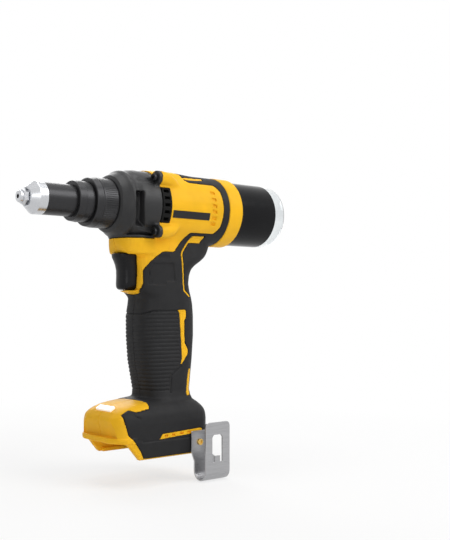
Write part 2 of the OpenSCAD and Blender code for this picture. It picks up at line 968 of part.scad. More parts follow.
module nose_cap() {
    color(steel)
        turned([
            [x_cap, cap_mouth_r], [x_cap, cap_rim_r - 0.5], [x_cap - 0.5, cap_rim_r],
            [x_cap - cap_cone_len, nose_r - 0.2], [x_cap - cap_cone_len - 0.4, nose_r],
            [x_sleeve + 0.4, nose_r], [x_sleeve, nose_r - 0.4],
            [x_sleeve, spigot_r - fit], [x_sleeve - cap_spigot_len, spigot_r - fit],
            [x_sleeve - cap_spigot_len, sleeve_bore_r],
            [x_hex_end - cap_web_len, sleeve_bore_r], [x_hex_end - cap_web_len, shank_r],
            [x_hex_end - fit, shank_r], [x_hex_end - fit, cap_mouth_r]
        ]);
}

module nose_sleeve() {
    color(black)
        turned([
            [x_sleeve - seat, spigot_r], [x_sleeve - seat, sleeve_r],
            [x_collar - collar_lip - run, sleeve_r], [x_collar - collar_lip - run, neck_r],
            [x_neck + seat, neck_r], [x_neck + seat, sleeve_bore_r],
            [x_sleeve - cap_spigot_len - seat, sleeve_bore_r],
            [x_sleeve - cap_spigot_len - seat, spigot_r]
        ]);
}

module sleeve_ring() {
    color(black)
        turned([
            [x_ring, sleeve_r + fit], [x_ring, ring_r - step_rise - step_edge],
            [x_ring - step_edge, ring_r - step_rise], [x_ring - ring_cone_len, ring_r - 0.1],
            [x_ring - ring_cone_len - 0.4, ring_r - 0.4], [x_collar + 0.7, ring_r - 0.4],
            [x_collar + run, ring_r - 0.8], [x_collar + run, sleeve_r + fit]
        ]);
}

module collar_nut() {
    color(black)
        difference() {
            turned([
                [x_collar, nose_r + run], [x_collar, collar_r - step_rise - step_edge],
                [x_collar - step_edge, collar_r - step_rise], [x_collar - collar_cone_len, collar_r],
                [x_collar - collar_cone_len - 0.4, collar_r - 0.4],
                [x_collar - collar_cone_len - 0.8, collar_r], [x_case + 0.9, collar_r],
                [x_case + 0.5, collar_r - 0.4], [x_case + 0.5, neck_r + run],
                [x_collar - collar_lip, neck_r + run], [x_collar - collar_lip, nose_r + run]
            ]);
            for (i = [0 : rib_count - 1])
                rotate([360 * i / rib_count, 0, 0])
                    translate([x_case - 1, 0, collar_r + 0.1])
                        rotate([0, 90, 0])
                            cylinder(h = collar_len - collar_cone_len - 1, r = rib_r, $fn = 4);
        }
}

// Gear case and its screws

module gear_case() {
    color(dark_grey)
        difference() {
            union() {
                turned([
                    [x_neck, 0], [x_neck, neck_r], [x_case, neck_r], [x_case, case_front_r],
                    [x_case - 1.6, case_front_r + 2.6], [x_case - 5.5, case_front_r + 4.6],
                    [x_case - case_flare_len, case_r - 3], [x_case - case_flare_len - 8, case_r],
                    [x_body + eps, case_r], [x_body + eps, 0]
                ]);
                slab_x(x_body + eps, x_body + case_flange_len)
                    ear_outline(ear_r);
                block(
                    [x_body + eps, -case_half_w, case_pad_z[0]],
                    [x_body + case_block_len, case_half_w, case_pad_z[1]]
                );
                rod_x(x_plate_end, x_body + 2, case_sleeve_r);
            }
            block([-far, -far, -far], [far, far, case_bottom_z]);
            turned([
                [x_neck + 1, 0], [x_neck + 1, neck_bore_r], [x_thrust + eps, neck_bore_r],
                [x_thrust + eps, nut_bearing_r + fit],
                [x_nut_bearing - nut_bearing_len - seat, nut_bearing_r + fit],
                [x_nut_bearing - nut_bearing_len - seat, nut_bearing_r + 0.6],
                [x_ring_gear + seat, nut_bearing_r + 0.6], [x_ring_gear + seat, ring_gear_r + fit],
                [x_plate_end - 1, ring_gear_r + fit], [x_plate_end - 1, 0]
            ]);
            for (a = [0, 180])
                rotate([a, 0, 0])
                    block(
                        [x_slot_end, 0, -key_half_w - run],
                        [x_neck + 1, key_r + run, key_half_w + run]
                    );
            for (y = [-case_screw_y, case_screw_y], z = case_screw_z)
                translate([x_body - 1, y, z])
                    rotate([0, 90, 0]) {
                        cylinder(h = case_len, r = case_screw_r + 0.2);
                        translate([0, 0, case_flange_len + 1])
                            cylinder(h = case_len, r = case_head_r + 0.9);
                    }
            for (side = [-1, 1])
                translate([
                    x_body + case_block_len + case_recess_gap + case_recess[0] / 2,
                    side * (case_half_w + 1.5), 0
                ])
                    cube(case_recess, center = true);
        }
}

module gear_case_screws() {
    color(steel)
        for (y = [-case_screw_y, case_screw_y], z = case_screw_z)
            translate([x_body + case_flange_len, y, z])
                rotate([0, 90, 0])
                    difference() {
                        union() {
                            translate([0, 0, seat])
                                cylinder(h = case_head_len, r = case_head_r);
                            translate([0, 0, -case_screw_len])
                                cylinder(h = case_screw_len + 1, r = case_screw_r - fit);
                        }
                        translate([0, 0, case_head_len - socket_depth])
                            cylinder(h = case_head_len, r = case_socket_r, $fn = 6);
                    }
}

// Housing, overmould and trim

module housing_left() {
    color(yellow) {
        housing_half(1);
        rail_half(1);
    }
}

module housing_right() {
    color(yellow) {
        housing_half(-1);
        rail_half(-1);
    }
}

// Battery rail of one side
module rail_half(side) {
    intersection() {
        half_space(side);
        battery_rails();
    }
}

module housing_screws() {
    head_end = -screw_head_y - seat - head_len;
    color(steel)
        for (p = screw_places)
            difference() {
                union() {
                    rod_y(p, head_end, head_end + head_len, head_r);
                    rod_y(p, -screw_head_y - 1, screw_tip_y, pilot_r);
                }
                rod_y(p, head_end - 1, head_end + socket_depth, socket_r, $fn = 6);
            }
}

module grip_left() {
    color(black)
        grip_skin(1);
}

module grip_right() {
    color(black)
        grip_skin(-1);
}

module vent_insert_left() {
    color(black)
        vent_insert(1);
}

module vent_insert_right() {
    color(black)
        vent_insert(-1);
}

module label_left() {
    color(dark_grey)
        label_plate(1);
}

module label_right() {
    color(dark_grey)
        label_plate(-1);
}

// Rear ring and bottle

// Sector lug or slot between two radii
module sector_x(back, front, r0, r1, middle_deg, width_deg) {
    rotate([middle_deg - width_deg / 2, 0, 0])
        translate([back, 0, 0])
            rotate([90, 0, 90])
                rotate_extrude(angle = width_deg, $fn = 96)
                    translate([r0, 0])
                        square([r1 - r0, front - back]);
}

module rear_ring() {
    color(yellow)
        difference() {
            turned([
                [x_rear_bearing + 2, bearing_out_r - 2], [x_rear_bearing + 2, bearing_out_r + 3],
                [x_band + 1, bearing_out_r + 3], [x_band + 1, barrel_r - wall - seat],
                [x_band - fit, barrel_r - wall - seat], [x_band - fit, rear_ring_r - 0.6],
                [x_band - 0.6, rear_ring_r], [x_bottle + 0.8, rear_ring_r],
                [x_bottle, rear_ring_r - 0.8], [x_bottle, ring_mouth_r],
                [x_lug - lug_len - run, ring_mouth_r], [x_lug - lug_len - run, lock_groove_r],
                [x_lug + run, lock_groove_r], [x_lug + run, ring_mouth_r],
                [x_seal, ring_mouth_r], [x_seal, tube_r + fit],
                [x_band + 3.5, tube_r + fit], [x_band + 3.5, bearing_out_r + fit],
                [x_rear_bearing + 1, bearing_out_r + fit], [x_rear_bearing + 1, bearing_out_r - 2]
            ]);
            for (i = [0 : lug_count - 1])
                sector_x(x_bottle - 1, x_lug - lug_len, ring_mouth_r - 2, lock_groove_r - fit,
                    360 * i / lug_count - bottle_turn, lug_deg + lug_room_deg);
        }
}

module bottle_seal() {
    color(black)
        tube_x(x_seal - seal_len, x_seal, ring_mouth_r - seal_inset, ring_mouth_r - seal_inset - seal_w);
}

module collection_bottle() {
    color(black) {
        turned([
            [x_bottle_front, bottle_neck_r - bottle_wall], [x_bottle_front, bottle_neck_r - 0.3],
            [x_bottle_front - 0.3, bottle_neck_r], [x_bottle - run, bottle_neck_r],
            [x_bottle - run, bottle_r - 0.4], [x_bottle - run - 0.4, bottle_r],
            [x_clear + 0.3, bottle_r], [x_clear, bottle_r - 0.3],
            [x_clear, bottle_r - bottle_wall], [x_bottle - run - 4, bottle_r - bottle_wall],
            [x_bottle - run - 2, bottle_neck_r - bottle_wall]
        ]);
        for (i = [0 : lug_count - 1])
            sector_x(x_lug - lug_len, x_lug, bottle_neck_r - 0.4, lug_r, 360 * i / lug_count, lug_deg);
    }
}

module bottle_end() {
    inner = bottle_r - bottle_wall - fit;
    color([0.85, 0.88, 0.9, 0.45])
        rotate([0, 90, 0])
            rotate_extrude($fn = 96)
                difference() {
                    union() {
                        translate([0, x_end + clear_round])
                            square([bottle_r - 0.3, clear_len - clear_round - seat]);
                        translate([0, x_end])
                            square([bottle_r - 0.3 - clear_round, clear_len - seat]);
                        translate([bottle_r - 0.3 - clear_round, x_end + clear_round])
                            circle(clear_round);
                        translate([0, x_clear - 1])
                            square([inner, clear_spigot_len + 1]);
                    }
                    translate([0, x_end + clear_wall])
                        square([inner - bottle_wall, far]);
                    translate([-far, -far])
                        square([far, 2 * far]);
                }
}

// Trigger and switch

module trigger() {
    color(black)
        difference() {
            intersection() {
                slab_y([
                    [x_trigger + 6, trigger_z[1]], [x_trigger + 6, trigger_z[0]],
                    [x_trigger_back, trigger_z[0]], [x_trigger_back, trigger_z[1]]
                ], -trigger_w / 2, trigger_w / 2);
                translate([x_trigger + 1 - trigger_nose_r, 0, -far])
                    linear_extrude(2 * far)
                        union() {
                            circle(trigger_nose_r, $fn = 96);
                            translate([-40, -trigger_w / 2])
                                square([40, trigger_w]);
                        }
            }
            translate([x_trigger - trigger_hollow + trigger_hollow_r, 0, trigger_hollow_z])
                rotate([90, 0, 0])
                    cylinder(h = 2 * far, r = trigger_hollow_r, center = true, $fn = 128);
            block(
                [x_trigger_back - 1, -trigger_w / 2 + trigger_wall, trigger_z[0] + trigger_wall],
                [x_trigger_back + trigger_pocket, trigger_w / 2 - trigger_wall, trigger_z[1] - trigger_wall]
            );
        }
}

module switch_plunger() {
    color(dark_grey)
        translate([x_switch - plunger_len, 0, plunger_z])
            rotate([0, 90, 0])
                cylinder(h = x_trigger_back + trigger_pocket - fit - x_switch + plunger_len, r = plunger_r);
}

// Coil along X between two stations, swept round a helix
module coil_x(back, front, r, wire_r, turns) {
    per_turn = 14;
    sides = 6;
    rings = turns * per_turn;
    pitch = (front - back - 2 * wire_r) / rings;
    points = [
        for (k = [0 : rings], s = [0 : sides - 1])
            let (a = 360 * k / per_turn, b = 360 * s / sides)
            [
                back + wire_r + k * pitch + wire_r * sin(b),
                (r + wire_r * cos(b)) * cos(a),
                (r + wire_r * cos(b)) * sin(a)
            ]
    ];
    skin_faces = [
        for (k = [0 : rings - 1], s = [0 : sides - 1])
            let (t = (s + 1) % sides)
            each [
                [k * sides + s, k * sides + t, (k + 1) * sides + t],
                [k * sides + s, (k + 1) * sides + t, (k + 1) * sides + s]
            ]
    ];
    first = [for (s = [sides - 1 : -1 : 0]) s];
    last = [for (s = [0 : sides - 1]) rings * sides + s];
    polyhedron(points, concat(skin_faces, [first, last]));
}

module trigger_spring() {
    color(steel)
        translate([0, 0, plunger_z])
            coil_x(x_switch + seat, x_trigger_back + trigger_pocket - seat, spring_r, spring_wire_r,
                spring_turns);
}

module trigger_switch() {
    color(black)
        difference() {
            block(
                [x_switch - switch_len, -switch_half_w, switch_z[0]],
                [x_switch, switch_half_w, switch_z[1]]
            );
            translate([x_switch - plunger_len - trigger_travel - 1, 0, plunger_z])
                rotate([0, 90, 0])
                    cylinder(h = far, r = plunger_r + run);
        }
}

// Electrics in the grip and the foot

module control_module() {
    color(dark_grey)
        block(
            [module_x[0], -module_half_w, module_z[0]],
            [module_x[1], module_half_w, module_z[1]]
        );
}

module power_leads() {
    color([0.7, 0.12, 0.1]) {
        for (x = [x_grip + 2, x_grip - 6])
            translate([x, 0, block_z[1] + seat])
                cylinder(h = module_z[0] - block_z[1] - 2 * seat, r = lead_r);
        for (i = [-1 : 1])
            translate([x_plate_end - 3, i * lead_pitch, module_z[1] + seat])
                cylinder(h = -coil_out_r - 1 - module_z[1], r = lead_r);
    }
}

module terminal_block() {
    color(black)
        difference() {
            block(
                [block_x[0], -block_half_w, block_z[0]],
                [block_x[1], block_half_w, block_z[1]]
            );
            for (i = [0 : blade_count - 1])
                translate([
                    block_x[1] - blade_slot[0],
                    (i - (blade_count - 1) / 2) * blade_pitch - blade_slot[1] / 2,
                    block_z[0] - 1
                ])
                    cube(blade_slot + [1, 0, 1]);
        }
}

module terminal_blades() {
    color(brass)
        for (i = [0 : blade_count - 1])
            translate([
                block_x[1] - blade_slot[0] + fit,
                (i - (blade_count - 1) / 2) * blade_pitch - blade_size[1] / 2,
                block_z[0] + blade_slot[2] - blade_size[2] - fit
            ])
                cube(blade_size);
}

module work_light_lens() {
    color([0.95, 0.96, 0.98])
        light_place()
            cube(light_size, center = true);
}

module work_light_board() {
    color([0.1, 0.35, 0.18])
        light_place()
            translate([0, 0, -(light_size[2] + light_board_t) / 2 - seat])
                cube([light_size[0] - 0.6, light_size[1] - 2, light_board_t], center = true);
}

// Belt hook

// Section of the hook: an inner leg, a bend below and an outer plate
module hook_section() {
    bend_r = hook_gap / 2;
    middle = hook_y + hook_t + bend_r;
    translate([hook_y, hook_bend_z])
        square([hook_t, hook_tab_top_z - hook_bend_z]);
    translate([middle + bend_r, hook_bend_z])
        square([hook_t, hook_top_z - hook_bend_z]);
    difference() {
        translate([middle, hook_bend_z])
            circle(bend_r + hook_t);
        translate([middle, hook_bend_z])
            circle(bend_r);
        translate([middle - far, hook_bend_z])
            square([2 * far, far]);
    }
}

module belt_hook() {
    plate_y = hook_y + hook_t + 1;
    color(steel)
        difference() {
            slab_x(hook_x[0], hook_tab_x[1])
                hook_section();
            slab_y([
                [hook_tab_x[0], far], [hook_tab_x[0], hook_tab_z], [hook_x[0] + 1, hook_leg_z],
                [hook_x[0] - 1, hook_leg_z + 1], [hook_x[0] - 1, far]
            ], 0, plate_y);
            slab_y([
                [hook_tab_x[1] + 1, hook_tab_z], [hook_tab_x[1], hook_tab_z - 2], [hook_x[1], hook_leg_z],
                [hook_x[1], -far], [hook_tab_x[1] + 1, -far]
            ], 0, far);
            block([hook_x[1], plate_y, -far], [hook_x[1] + far, far, far]);
            slab_y([
                [hook_x[0] - 1, hook_top_z - hook_corner], [hook_x[0] + hook_corner, hook_top_z + 1],
                [hook_x[0] - 1, hook_top_z + 1]
            ], plate_y, far);
            block(
                [hook_window_x[0], plate_y, hook_window_z[0]],
                [hook_window_x[1], far, hook_window_z[1]]
            );
            rod_y(hook_screw_at, 0, plate_y, hook_screw_r + 0.2);
        }
}

module belt_hook_screw() {
    head_y = hook_y + hook_t + seat;
    color(brass)
        difference() {
            union() {
                rod_y(hook_screw_at, half_foot - hook_screw_depth, head_y + 0.5, hook_screw_r);
                rod_y(hook_screw_at, head_y, head_y + hook_head_len, hook_head_r);
            }
            rod_y(hook_screw_at, head_y + 0.5, far, hook_socket_r, $fn = 6);
        }
}

// Pulling head

module jaw_case() {
    color(steel)
        turned([
            [x_jaw_case, jaw_mouth_r], [x_jaw_case, jaw_case_r - 0.6], [x_jaw_case - 0.6, jaw_case_r],
            [x_jaw_case_end, jaw_case_r], [x_jaw_case_end, jaw_cone_r + fit],
            [x_jaw_end, jaw_cone_r + fit]
        ]);
}

module jaws() {
    color(steel)
        for (i = [0 : jaw_count - 1])
            rotate([360 * i / jaw_count, 0, 0])
                rotate([jaw_gap_deg / 2, 0, 0])
                    rotate([0, 90, 0])
                        rotate_extrude(angle = 360 / jaw_count - jaw_gap_deg, $fn = 96)
                            polygon([
                                [mandrel_r, x_jaw_case - jaw_inset],
                                [jaw_mouth_r - 0.2, x_jaw_case - jaw_inset],
                                [jaw_cone_r - 0.4, x_jaw_end + 0.4], [mandrel_r + 0.6, x_jaw_end + 0.4]
                            ]);
}

module jaw_pusher() {
    color(steel)
        tube_x(x_pusher_end, x_jaw_end - seat, jaw_cone_r - run, mandrel_r + 1);
}

module jaw_spring() {
    color(steel)
        coil_x(x_spigot + fit, x_pusher_end - fit, jaw_cone_r - jaw_spring_wire_r - 0.9, jaw_spring_wire_r,
                jaw_spring_turns);
}

module pull_screw() {
    thread_len = x_key - key_len - 2 - x_nut_end;
    color(steel)
        difference() {
            union() {
                rod_x(x_jaw_case_end, x_spigot, jaw_cone_r);
                rod_x(x_jaw_case_end - 1, x_jaw_case_end + 1, jaw_cone_r);
                rod_x(x_key - key_len - 2.5, x_jaw_case_end, screw_neck_r);
                translate([x_nut_end, 0, 0])
                    rotate([0, 90, 0])
                        linear_extrude(thread_len, twist = -360 * thread_len / screw_lead,
                            slices = ceil(thread_slices * thread_len / screw_lead), $fn = thread_sides)
                            translate([thread_throw, 0])
                                circle(screw_r - thread_throw, $fn = thread_sides);
            }
            rod_x(x_nut_end - 1, x_spigot + 1, screw_bore_r);
            rod_x(x_nut_end - 1, x_tube + stroke + 1.5, tube_r + 0.4);
        }
}

module anti_turn_key() {
    color(steel)
        intersection() {
            tube_x(x_key - key_len, x_key, key_r, screw_neck_r + fit);
            union() {
                rod_x(x_key - key_len, x_key, sleeve_bore_r - run);
                block([x_key - key_len, -far, -key_half_w], [x_key, far, key_half_w]);
            }
        }
}

// Nut, bearings and gears

module ball_nut() {
    race_back = x_nut - nut_flange_len - ball_race_len;
    color(steel)
        turned([
            [x_nut, screw_r + run], [x_nut, nut_flange_r], [x_nut - nut_flange_len, nut_flange_r],
            [x_nut - nut_flange_len, nut_r], [x_nut_end, nut_r], [x_nut_end, screw_r + run],
            [race_back, screw_r + run], [race_back, ball_race_r],
            [x_nut - nut_flange_len, ball_race_r], [x_nut - nut_flange_len, screw_r + run]
        ]);
}

module screw_balls() {
    first = ceil((nut_len - nut_flange_len - ball_race_len + ball_r + 0.5) / screw_lead * balls_per_turn);
    color(steel)
        translate([x_nut_end, 0, 0])
            rotate([0, 90, 0])
                for (k = [first : first + balls_per_turn * ball_turns - 1])
                    rotate([0, 0, 180 + 360 * k / balls_per_turn])
                        translate([ball_pitch_r, 0, screw_lead * k / balls_per_turn])
                            sphere(ball_r);
}

module thrust_bearing() {
    color(steel)
        tube_x(x_thrust - thrust_len, x_thrust, nut_flange_r + 1, sleeve_bore_r);
}

module nut_bearing() {
    color(steel)
        bearing_x(x_nut_bearing - nut_bearing_len, nut_bearing_len, nut_r + fit, nut_bearing_r);
}

module ring_gear() {
    pitch = gear_module * ring_teeth / 2;
    color(dark_grey)
        difference() {
            rod_x(x_gears_end, x_ring_gear, ring_gear_r);
            translate([x_gears_end - 1, 0, 0])
                rotate([0, 90, 0])
                    linear_extrude(x_ring_gear - x_gears_end + 2)
                        polygon(gear_points(ring_teeth, pitch + dedendum * gear_module,
                            pitch - addendum * gear_module, backlash));
        }
}

module output_carrier() {
    color(steel)
        carrier_plate(x_out_carrier);
}

module output_planet_1() {
    color(steel)
        planet_gear(0, x_out_gears);
}

module output_planet_2() {
    color(steel)
        planet_gear(1, x_out_gears);
}

module output_planet_3() {
    color(steel)
        planet_gear(2, x_out_gears);
}

module middle_carrier() {
    color(steel) {
        carrier_plate(x_mid_carrier);
        difference() {
            gear_x(x_mid_carrier - 0.5, x_out_gears, sun_teeth);
            rod_x(x_mid_carrier - 2, x_out_gears + 1, hollow_r);
        }
    }
}

module input_planet_1() {
    color(steel)
        planet_gear(0, x_in_gears);
}

module input_planet_2() {
    color(steel)
        planet_gear(1, x_in_gears);
}

module input_planet_3() {
    color(steel)
        planet_gear(2, x_in_gears);
}

// Motor

module rotor_shaft() {
    color(steel)
        difference() {
            union() {
                gear_x(x_in_gears - gear_w, x_in_gears, sun_teeth);
                rod_x(x_rear_bearing - bearing_len - 0.5, x_in_gears - gear_w + eps, bearing_in_r);
            }
            rod_x(x_rear_bearing - bearing_len - 2, x_in_gears + 1, shaft_bore_r);
            rod_x(x_nut_end - stroke - 1, x_in_gears + 1, hollow_r);
        }
}

module rotor_core() {
    color(dark_grey)
        tube_x(x_stator_end, x_stator, rotor_r, bearing_in_r + fit);
}

module fan() {
    color(black)
        difference() {
            union() {
                rod_x(x_fan_end, x_fan, bearing_in_r + fan_hub_t);
                rod_x(x_fan_end, x_fan_end + fan_plate_t, fan_r);
                for (i = [0 : fan_blades - 1])
                    rotate([360 * i / fan_blades, 0, 0])
                        block(
                            [x_fan_end + fan_plate_t / 2, -fan_blade_t / 2, bearing_in_r + fan_hub_t - 1],
                            [x_fan, fan_blade_t / 2, fan_r - 0.5]
                        );
            }
            rod_x(x_fan_end - 1, x_fan + 1, bearing_in_r + fit);
        }
}

module stator() {
    color(dark_grey) {
        tube_x(x_stator_end, x_stator, stator_r, stator_r - stator_yoke);
        for (i = [0 : stator_teeth - 1])
            rotate([360 * i / stator_teeth, 0, 0])
                block(
                    [x_stator_end, -stator_tooth_half_w, rotor_r + air_gap],
                    [x_stator, stator_tooth_half_w, stator_r - stator_yoke + 0.5]
                );
    }
}

module stator_coils() {
    color(copper)
        for (i = [0 : stator_teeth - 1])
            rotate([360 * i / stator_teeth, 0, 0])
                difference() {
                    block(
                        [x_stator_end - coil_end, -coil_half_w, coil_in_r],
                        [x_stator + coil_end, coil_half_w, coil_out_r]
                    );
                    block(
                        [x_stator_end - seat, -stator_tooth_half_w - seat, rotor_r + 1],
                        [x_stator + seat, stator_tooth_half_w + seat, stator_r]
                    );
                }
}

module motor_plate() {
    color(dark_grey)
        turned([
            [x_plate, bearing_in_r + 2], [x_plate, ring_gear_r], [x_plate_end, ring_gear_r],
            [x_plate_end, bearing_out_r + fit], [x_plate - plate_lip, bearing_out_r + fit],
            [x_plate - plate_lip, bearing_in_r + 2]
        ]);
}

module motor_bearing_front() {
    color(steel)
        bearing_x(x_plate - plate_lip - seat - bearing_len, bearing_len, bearing_in_r + fit, bearing_out_r);
}

module motor_bearing_rear() {
    color(steel)
        bearing_x(x_rear_bearing - bearing_len, bearing_len, bearing_in_r + fit, bearing_out_r);
}

module mandrel_tube() {
    color(steel)
        tube_x(x_seal - 1.5, x_tube, tube_r, tube_bore_r);
}

nosepiece();
nose_cap();
nose_sleeve();
sleeve_ring();
collar_nut();
gear_case();
gear_case_screws();
housing_left();
housing_right();
housing_screws();
grip_left();
grip_right();
vent_insert_left();
vent_insert_right();
label_left();
label_right();
rear_ring();
collection_bottle();
bottle_end();
bottle_seal();
trigger();
switch_plunger();
trigger_spring();
trigger_switch();
control_module();
power_leads();
terminal_block();
terminal_blades();
work_light_lens();
work_light_board();
belt_hook();
belt_hook_screw();
jaw_case();
jaws();
jaw_pusher();
jaw_spring();
pull_screw();
anti_turn_key();
ball_nut();
screw_balls();
thrust_bearing();
nut_bearing();
ring_gear();
output_carrier();
output_planet_1();
output_planet_2();
output_planet_3();
middle_carrier();
input_planet_1();
input_planet_2();
input_planet_3();
rotor_shaft();
rotor_core();
fan();
stator();
stator_coils();
motor_plate();
motor_bearing_front();
motor_bearing_rear();
mandrel_tube();
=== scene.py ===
import json
import math

import bpy
import numpy as np
from mathutils import Matrix, Vector


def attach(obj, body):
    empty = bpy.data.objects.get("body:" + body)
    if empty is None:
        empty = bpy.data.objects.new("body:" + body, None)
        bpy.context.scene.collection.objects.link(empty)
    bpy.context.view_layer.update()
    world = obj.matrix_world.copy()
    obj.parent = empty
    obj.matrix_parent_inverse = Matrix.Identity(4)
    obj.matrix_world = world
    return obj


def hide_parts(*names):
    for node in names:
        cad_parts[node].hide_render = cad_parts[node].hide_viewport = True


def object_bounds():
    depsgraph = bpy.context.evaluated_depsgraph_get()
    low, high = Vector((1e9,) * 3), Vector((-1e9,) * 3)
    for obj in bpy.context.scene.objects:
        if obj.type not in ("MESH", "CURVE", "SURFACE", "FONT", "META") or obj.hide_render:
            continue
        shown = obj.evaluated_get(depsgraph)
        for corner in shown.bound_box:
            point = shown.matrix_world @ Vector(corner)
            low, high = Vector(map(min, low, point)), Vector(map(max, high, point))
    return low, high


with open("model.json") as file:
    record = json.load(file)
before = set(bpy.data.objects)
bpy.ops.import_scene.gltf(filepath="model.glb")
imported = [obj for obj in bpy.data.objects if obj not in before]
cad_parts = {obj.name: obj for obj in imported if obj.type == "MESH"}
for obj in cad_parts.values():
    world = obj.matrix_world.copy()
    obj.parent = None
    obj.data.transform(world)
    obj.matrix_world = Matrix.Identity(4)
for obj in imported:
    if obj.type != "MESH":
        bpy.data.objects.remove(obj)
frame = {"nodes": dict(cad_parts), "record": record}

# The CAD box, whose lowest point sets the floor's height
CAD_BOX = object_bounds()

# Shapes below are written in millimetres, in the part's own frame
MM = 0.001

COARSE = 1.0
BODY_STEP = 0.75 * COARSE
CASE_STEP = 0.6 * COARSE
SMALL_STEP = 0.4 * COARSE


# Camera at the photograph's viewpoint
PHOTO_LONG_SIDE = 540
FOCAL_PX = 858.7
CAMERA_AT = (0.3587, 0.6736, -0.0946)
CAMERA_YAW = math.radians(39.30)
SENSOR = 36.0
SHIFT_PX = (36.1, 34.5)


def add_camera():
    data = bpy.data.cameras.new("photo_camera")
    data.sensor_width = SENSOR
    data.lens = FOCAL_PX * SENSOR / PHOTO_LONG_SIDE
    data.shift_x = SHIFT_PX[0] / PHOTO_LONG_SIDE
    data.shift_y = SHIFT_PX[1] / PHOTO_LONG_SIDE
    data.clip_end = 50
    camera = bpy.data.objects.new("photo_camera", data)
    right = Vector((-math.cos(CAMERA_YAW), math.sin(CAMERA_YAW), 0))
    back = Vector((math.sin(CAMERA_YAW), math.cos(CAMERA_YAW), 0))
    turn = Matrix((right, (0, 0, 1), back)).transposed().to_4x4()
    camera.matrix_world = Matrix.Translation(CAMERA_AT) @ turn
    bpy.context.collection.objects.link(camera)
    bpy.context.scene.camera = camera


# Distance fields
def soft_min(a, b, k):
    h = np.clip(0.5 + 0.5 * (b - a) / k, 0, 1)
    return b + (a - b) * h - k * h * (1 - h)


def soft_max(a, b, k):
    return -soft_min(-a, -b, k)


def ease(v, low, high):
    t = np.clip((v - low) / (high - low), 0, 1)
    return t * t * (3 - 2 * t)


def span(v, low, high):
    return np.abs(v - (low + high) / 2) - (high - low) / 2


def box(x, y, z, low, high, r=0.0):
    qx = span(x, low[0] + r, high[0] - r)
    qy = span(y, low[1] + r, high[1] - r)
    qz = span(z, low[2] + r, high[2] - r)
    far = np.sqrt(np.maximum(qx, 0) ** 2 + np.maximum(qy, 0) ** 2 + np.maximum(qz, 0) ** 2)
    return far + np.minimum(np.maximum(np.maximum(qx, qy), qz), 0) - r


def outline(u, v, points):
    """Distance to a closed outline in a plane, negative inside."""
    best = np.full(np.broadcast(u, v).shape, 1e9)
    inside = np.zeros(best.shape, bool)
    for (ax, ay), (bx, by) in zip(points, points[1:] + points[:1]):
        ex, ey = bx - ax, by - ay
        t = np.clip(((u - ax) * ex + (v - ay) * ey) / (ex * ex + ey * ey), 0, 1)
        best = np.minimum(best, (u - ax - t * ex) ** 2 + (v - ay - t * ey) ** 2)
        if ay != by:
            crosses = ((ay > v) != (by > v)) & (u < ax + (v - ay) * ex / ey)
            inside = inside ^ crosses
    best = np.sqrt(best)
    return np.where(inside, -best, best)


def line(u, v, points):
    """Distance to an open line in a plane."""
    best = np.full(np.broadcast(u, v).shape, 1e9)
    for (ax, ay), (bx, by) in zip(points, points[1:]):
        ex, ey = bx - ax, by - ay
        t = np.clip(((u - ax) * ex + (v - ay) * ey) / (ex * ex + ey * ey), 0, 1)
        best = np.minimum(best, (u - ax - t * ex) ** 2 + (v - ay - t * ey) ** 2)
    return np.sqrt(best)


def groove(distance, width, depth):
    """A soft groove along a line, as a height to take off a surface."""
    return depth * np.exp(-((distance / width) ** 2))


# Meshing a field
SETTLE_PASSES = 3
SETTLE_PROBE = 0.1
SETTLE_REACH = 0.4
LEAST_SLOPE = 0.05
CORNERS = [(i, j, k) for i in (0, 1) for j in (0, 1) for k in (0, 1)]


